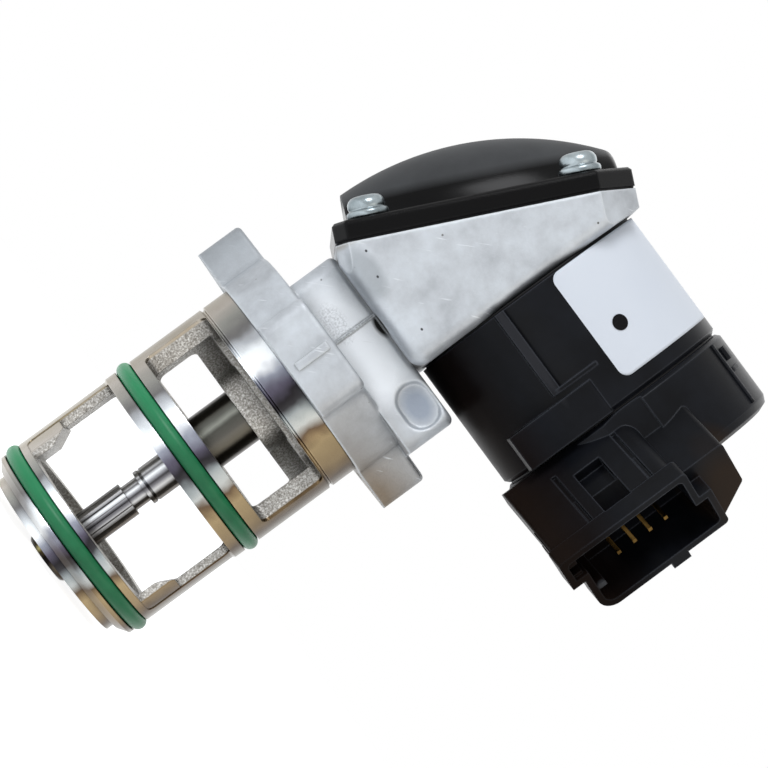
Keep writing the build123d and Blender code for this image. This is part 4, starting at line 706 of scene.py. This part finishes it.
class ValveStage(Operator):
    """Sets the floor, the soft lamps, the white surroundings and the camera"""
    bl_idname = "valve.stage"
    bl_label = "Stage"

    def execute(self, context):
        settings = context.scene.valve_stage
        low, high = (np.array(v) for v in CAD_BOX)
        half = settings.floor_size / 2
        corners = np.array([[-1, -1], [1, -1], [1, 1], [-1, 1]]) * half
        mesh = bpy.data.meshes.new("floor")
        mesh.from_pydata([(x, y, float(low[2])) for x, y in corners], [], [(0, 1, 2, 3)])
        mesh.materials.append(floor_paint(settings.floor_colour))
        floor = bpy.data.objects.new("floor", mesh)
        context.scene.collection.objects.link(floor)
        context.scene.world = surroundings()
        middle = ((low + high) / 2).tolist()
        for name, place, side, watts, colour in LAMPS:
            lamp(name, place, middle, side, watts, colour)

        camera = bpy.data.objects.new("camera", bpy.data.cameras.new("camera"))
        context.scene.collection.objects.link(camera)
        eye = Vector(CAMERA_AT)
        forward = (Vector(CAMERA_AIM) - eye).normalized()
        up = Vector(CAMERA_UP)
        up = (up - forward * up.dot(forward)).normalized()
        turn = Matrix((forward.cross(up), up, -forward)).transposed()
        camera.matrix_world = Matrix.Translation(eye) @ turn.to_4x4()
        camera.data.lens = settings.lens
        camera.data.clip_start = CLIP_START
        context.scene.camera = camera
        context.scene.view_settings.view_transform = "Standard"
        return {"FINISHED"}


# ---- pieces ----------------------------------------------------------------------------------
class ValveFinishes(Operator):
    """Gives every solid the finish of its slot"""
    bl_idname = "valve.finishes"
    bl_label = "Finishes on the solids"

    def execute(self, context):
        for row in frame["record"]["subparts"]:
            mesh = NODES[row["node"]].data
            mesh.materials.clear()
            mesh.materials.append(finish_of(row["material_slot"]))
        return {"FINISHED"}


class ValveSeals(Operator):
    """Makes the two green O-rings"""
    bl_idname = "valve.seals"
    bl_label = "O-rings"

    def execute(self, context):
        settings = context.scene.valve_pieces
        for node in ("upper_o_ring", "lower_o_ring"):
            low, high = (np.array(v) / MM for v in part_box(node))
            section = (high[2] - low[2]) / 2
            middle = (high[2] + low[2]) / 2
            reach = high[0] - section
            # A ring of radius reach whose section is a circle: both angles run the full round.
            around = full_round(settings.ring_steps).T
            about = full_round(settings.section_steps)
            r = reach + section * np.cos(about)
            height = middle + section * np.sin(about) + 0 * around
            points = np.stack([r * np.cos(around), r * np.sin(around), height], -1)
            faces = grid_faces(settings.ring_steps, settings.section_steps, True, True)
            ring = put_in(node + "_smooth", points, faces, finish_of("green_rubber"), "housing")
            outward(ring)
            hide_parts(node)
        return {"FINISHED"}


class ValvePlate(Operator):
    """Makes the bare plate on the motor and its one round mark"""
    bl_idname = "valve.plate"
    bl_label = "Bare plate"

    def execute(self, context):
        settings = context.scene.valve_pieces
        # The sheet lies on the motor: x runs along it and the angle runs up over the top from its lower edge.
        # Near both ends of the angle the sheet narrows by a quarter circle, which rounds its corners.
        start, end = math.asin(PLATE_FOOT / MOTOR_R), PLATE_TOP
        bend = PLATE_CORNER_R * (1 - np.cos(np.linspace(0, np.pi / 2, CORNER_STEPS))) / MOTOR_R
        plain = np.linspace(start, end, PLATE_STEPS[0])[CORNER_SKIP:-CORNER_SKIP]
        arc = np.concatenate([start + bend, plain, end - bend[::-1]])[:, None]
        from_edge = np.minimum(arc - start, end - arc) * MOTOR_R
        into_corner = np.clip(PLATE_CORNER_R - from_edge, 0, PLATE_CORNER_R)
        cut = PLATE_CORNER_R - np.sqrt(np.clip(PLATE_CORNER_R**2 - into_corner**2, 0, None))
        left, right = PLATE_X
        x = (left + cut) + (right - left - 2 * cut) * np.linspace(0, 1, PLATE_STEPS[1])[None, :]
        points = on_motor(x, MOTOR_R + PLATE_GAP, arc)
        film = plate_film(settings.label_colour)
        sheet = put_in("bare_plate", points, grid_faces(*x.shape), film, "housing")
        thickened(sheet, settings.label_thickness)
        # The mark is a disc bent round the motor: its radius runs out and its angle round.
        ring = np.linspace(0.0, settings.mark_radius / MM, MARK_STEPS[0])[:, None]
        about = full_round(MARK_STEPS[1])
        up = math.asin(MARK_UP / MOTOR_R) + ring * np.sin(about) / MOTOR_R
        radius = MOTOR_R + PLATE_GAP + settings.label_thickness / MM + MARK_GAP
        points = on_motor(MARK_X + ring * np.cos(about), radius, up)
        mark = put_in("round_mark", points, grid_faces(*MARK_STEPS, False, True), mark_ink(), "housing")
        outward(mark)
        thickened(mark, MARK_T * MM)
        return {"FINISHED"}


class ValveScrews(Operator):
    """Makes the four domed flange-head screws of the cover"""
    bl_idname = "valve.screws"
    bl_label = "Cover screws"

    def execute(self, context):
        steps = context.scene.valve_pieces.screw_steps
        rows = len(SCREW_PROFILE)
        # The profile is turned round each screw's own axis; the recess's rows swell and shrink by lobes.
        about = full_round(steps)
        lobed = np.zeros((rows, 1))
        lobed[RECESS_ROWS] = RECESS_LOBE
        r = SCREW_PROFILE[:, :1] * (1 + lobed * np.cos(RECESS_LOBES * about))
        n = COVER_FACE_N + SCREW_PROFILE[:, 1:]
        shapes, faces = [], []
        for k, (u, v) in enumerate((u, v) for u in SCREW_U for v in (-SCREW_V, SCREW_V)):
            shapes.append(on_cover(u + r * np.cos(about), v + r * np.sin(about), n))
            start = k * steps * rows
            faces += [[start + i for i in face] for face in grid_faces(rows, steps, False, True)]
        heads = put_in("cover_screws_domed", np.stack(shapes), faces, finish_of("zinc_steel"), "housing")
        outward(heads)
        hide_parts("cover_screws")
        return {"FINISHED"}


class ValveSpring(Operator):
    """Makes the return spring at one length; the real one shortens as the valve opens"""
    bl_idname = "valve.spring"
    bl_label = "Return spring"

    def execute(self, context):
        settings = context.scene.valve_pieces
        low, high = (np.array(v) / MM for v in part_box("return_spring"))
        wire = settings.wire_radius / MM
        reach = high[0] - wire
        # The wire's centre climbs evenly as it goes round; its section is a circle across the climb.
        along = np.linspace(0, 1, settings.spring_steps)[:, None]
        turn = 2 * np.pi * SPRING_TURNS * along
        climb = high[2] - low[2] - 2 * wire
        slope = math.atan2(climb, 2 * np.pi * SPRING_TURNS * reach)
        about = full_round(settings.wire_steps)
        out, up = wire * np.cos(about), wire * np.sin(about)
        side = -up * math.sin(slope)
        r = reach + out
        height = low[2] + wire + climb * along + up * math.cos(slope)
        points = np.stack([r * np.cos(turn) - side * np.sin(turn), r * np.sin(turn) + side * np.cos(turn),
                           height], -1)
        faces = tube_faces(settings.spring_steps, settings.wire_steps)
        spring = put_in("return_spring_round_wire", points, faces, finish_of("spring_steel"), "housing")
        outward(spring)
        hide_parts("return_spring")
        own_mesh(spring)
        return {"FINISHED"}


class ValveSnap(Operator):
    """Makes the rails and the catch of the snap fastener on the end cap"""
    bl_idname = "valve.snap"
    bl_label = "Snap rails"

    def execute(self, context):
        # Each rail is a bar bent round the cap: x runs along it and the angle runs up its side, and its
        # section is a low crowned arch.
        shapes, faces = [], []
        steps, about = RAIL_STEPS[0], full_round(RAIL_STEPS[1])
        for k, (left, right, low, high, proud) in enumerate(SNAP_RAILS):
            x = np.linspace(left, right, steps)[:, None]
            arc = math.radians((low + high) / 2) - math.radians((high - low) / 2) * np.cos(about)
            rise = CAP_R + proud * np.clip(np.sin(about) * RAIL_FULLNESS, -1, 1)
            shapes.append(on_motor(x, rise, arc))
            start = k * RAIL_STEPS[0] * RAIL_STEPS[1]
            faces += [[start + i for i in face] for face in tube_faces(*RAIL_STEPS)]
        rails = put_in("snap_rails", np.stack(shapes), faces, finish_of("black_plastic"), "housing")
        outward(rails)
        return {"FINISHED"}


CLASSES = (ValveStageSettings, ValvePieceSettings, ValveStage, ValveFinishes, ValveSeals, ValvePlate,
           ValveScrews, ValveSpring, ValveSnap)
STEPS = ("stage", "finishes", "seals", "plate", "screws", "spring", "snap")


class VALVE_PT_pieces(Panel):
    """Lists the valve's pieces"""
    bl_label = "Valve"
    bl_idname = "VALVE_PT_pieces"
    bl_space_type = "VIEW_3D"
    bl_region_type = "UI"
    bl_category = "Valve"

    def draw(self, context):
        for step in STEPS:
            self.layout.operator("valve." + step)


def register():
    for kind in CLASSES + (VALVE_PT_pieces,):
        bpy.utils.register_class(kind)
    bpy.types.Scene.valve_stage = PointerProperty(type=ValveStageSettings)
    bpy.types.Scene.valve_pieces = PointerProperty(type=ValvePieceSettings)


def unregister():
    del bpy.types.Scene.valve_stage
    del bpy.types.Scene.valve_pieces
    for kind in reversed(CLASSES + (VALVE_PT_pieces,)):
        bpy.utils.unregister_class(kind)


def main():
    """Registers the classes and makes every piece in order."""
    register()
    for step in STEPS:
        getattr(bpy.ops.valve, step)()


if __name__ == "__main__":
    main()
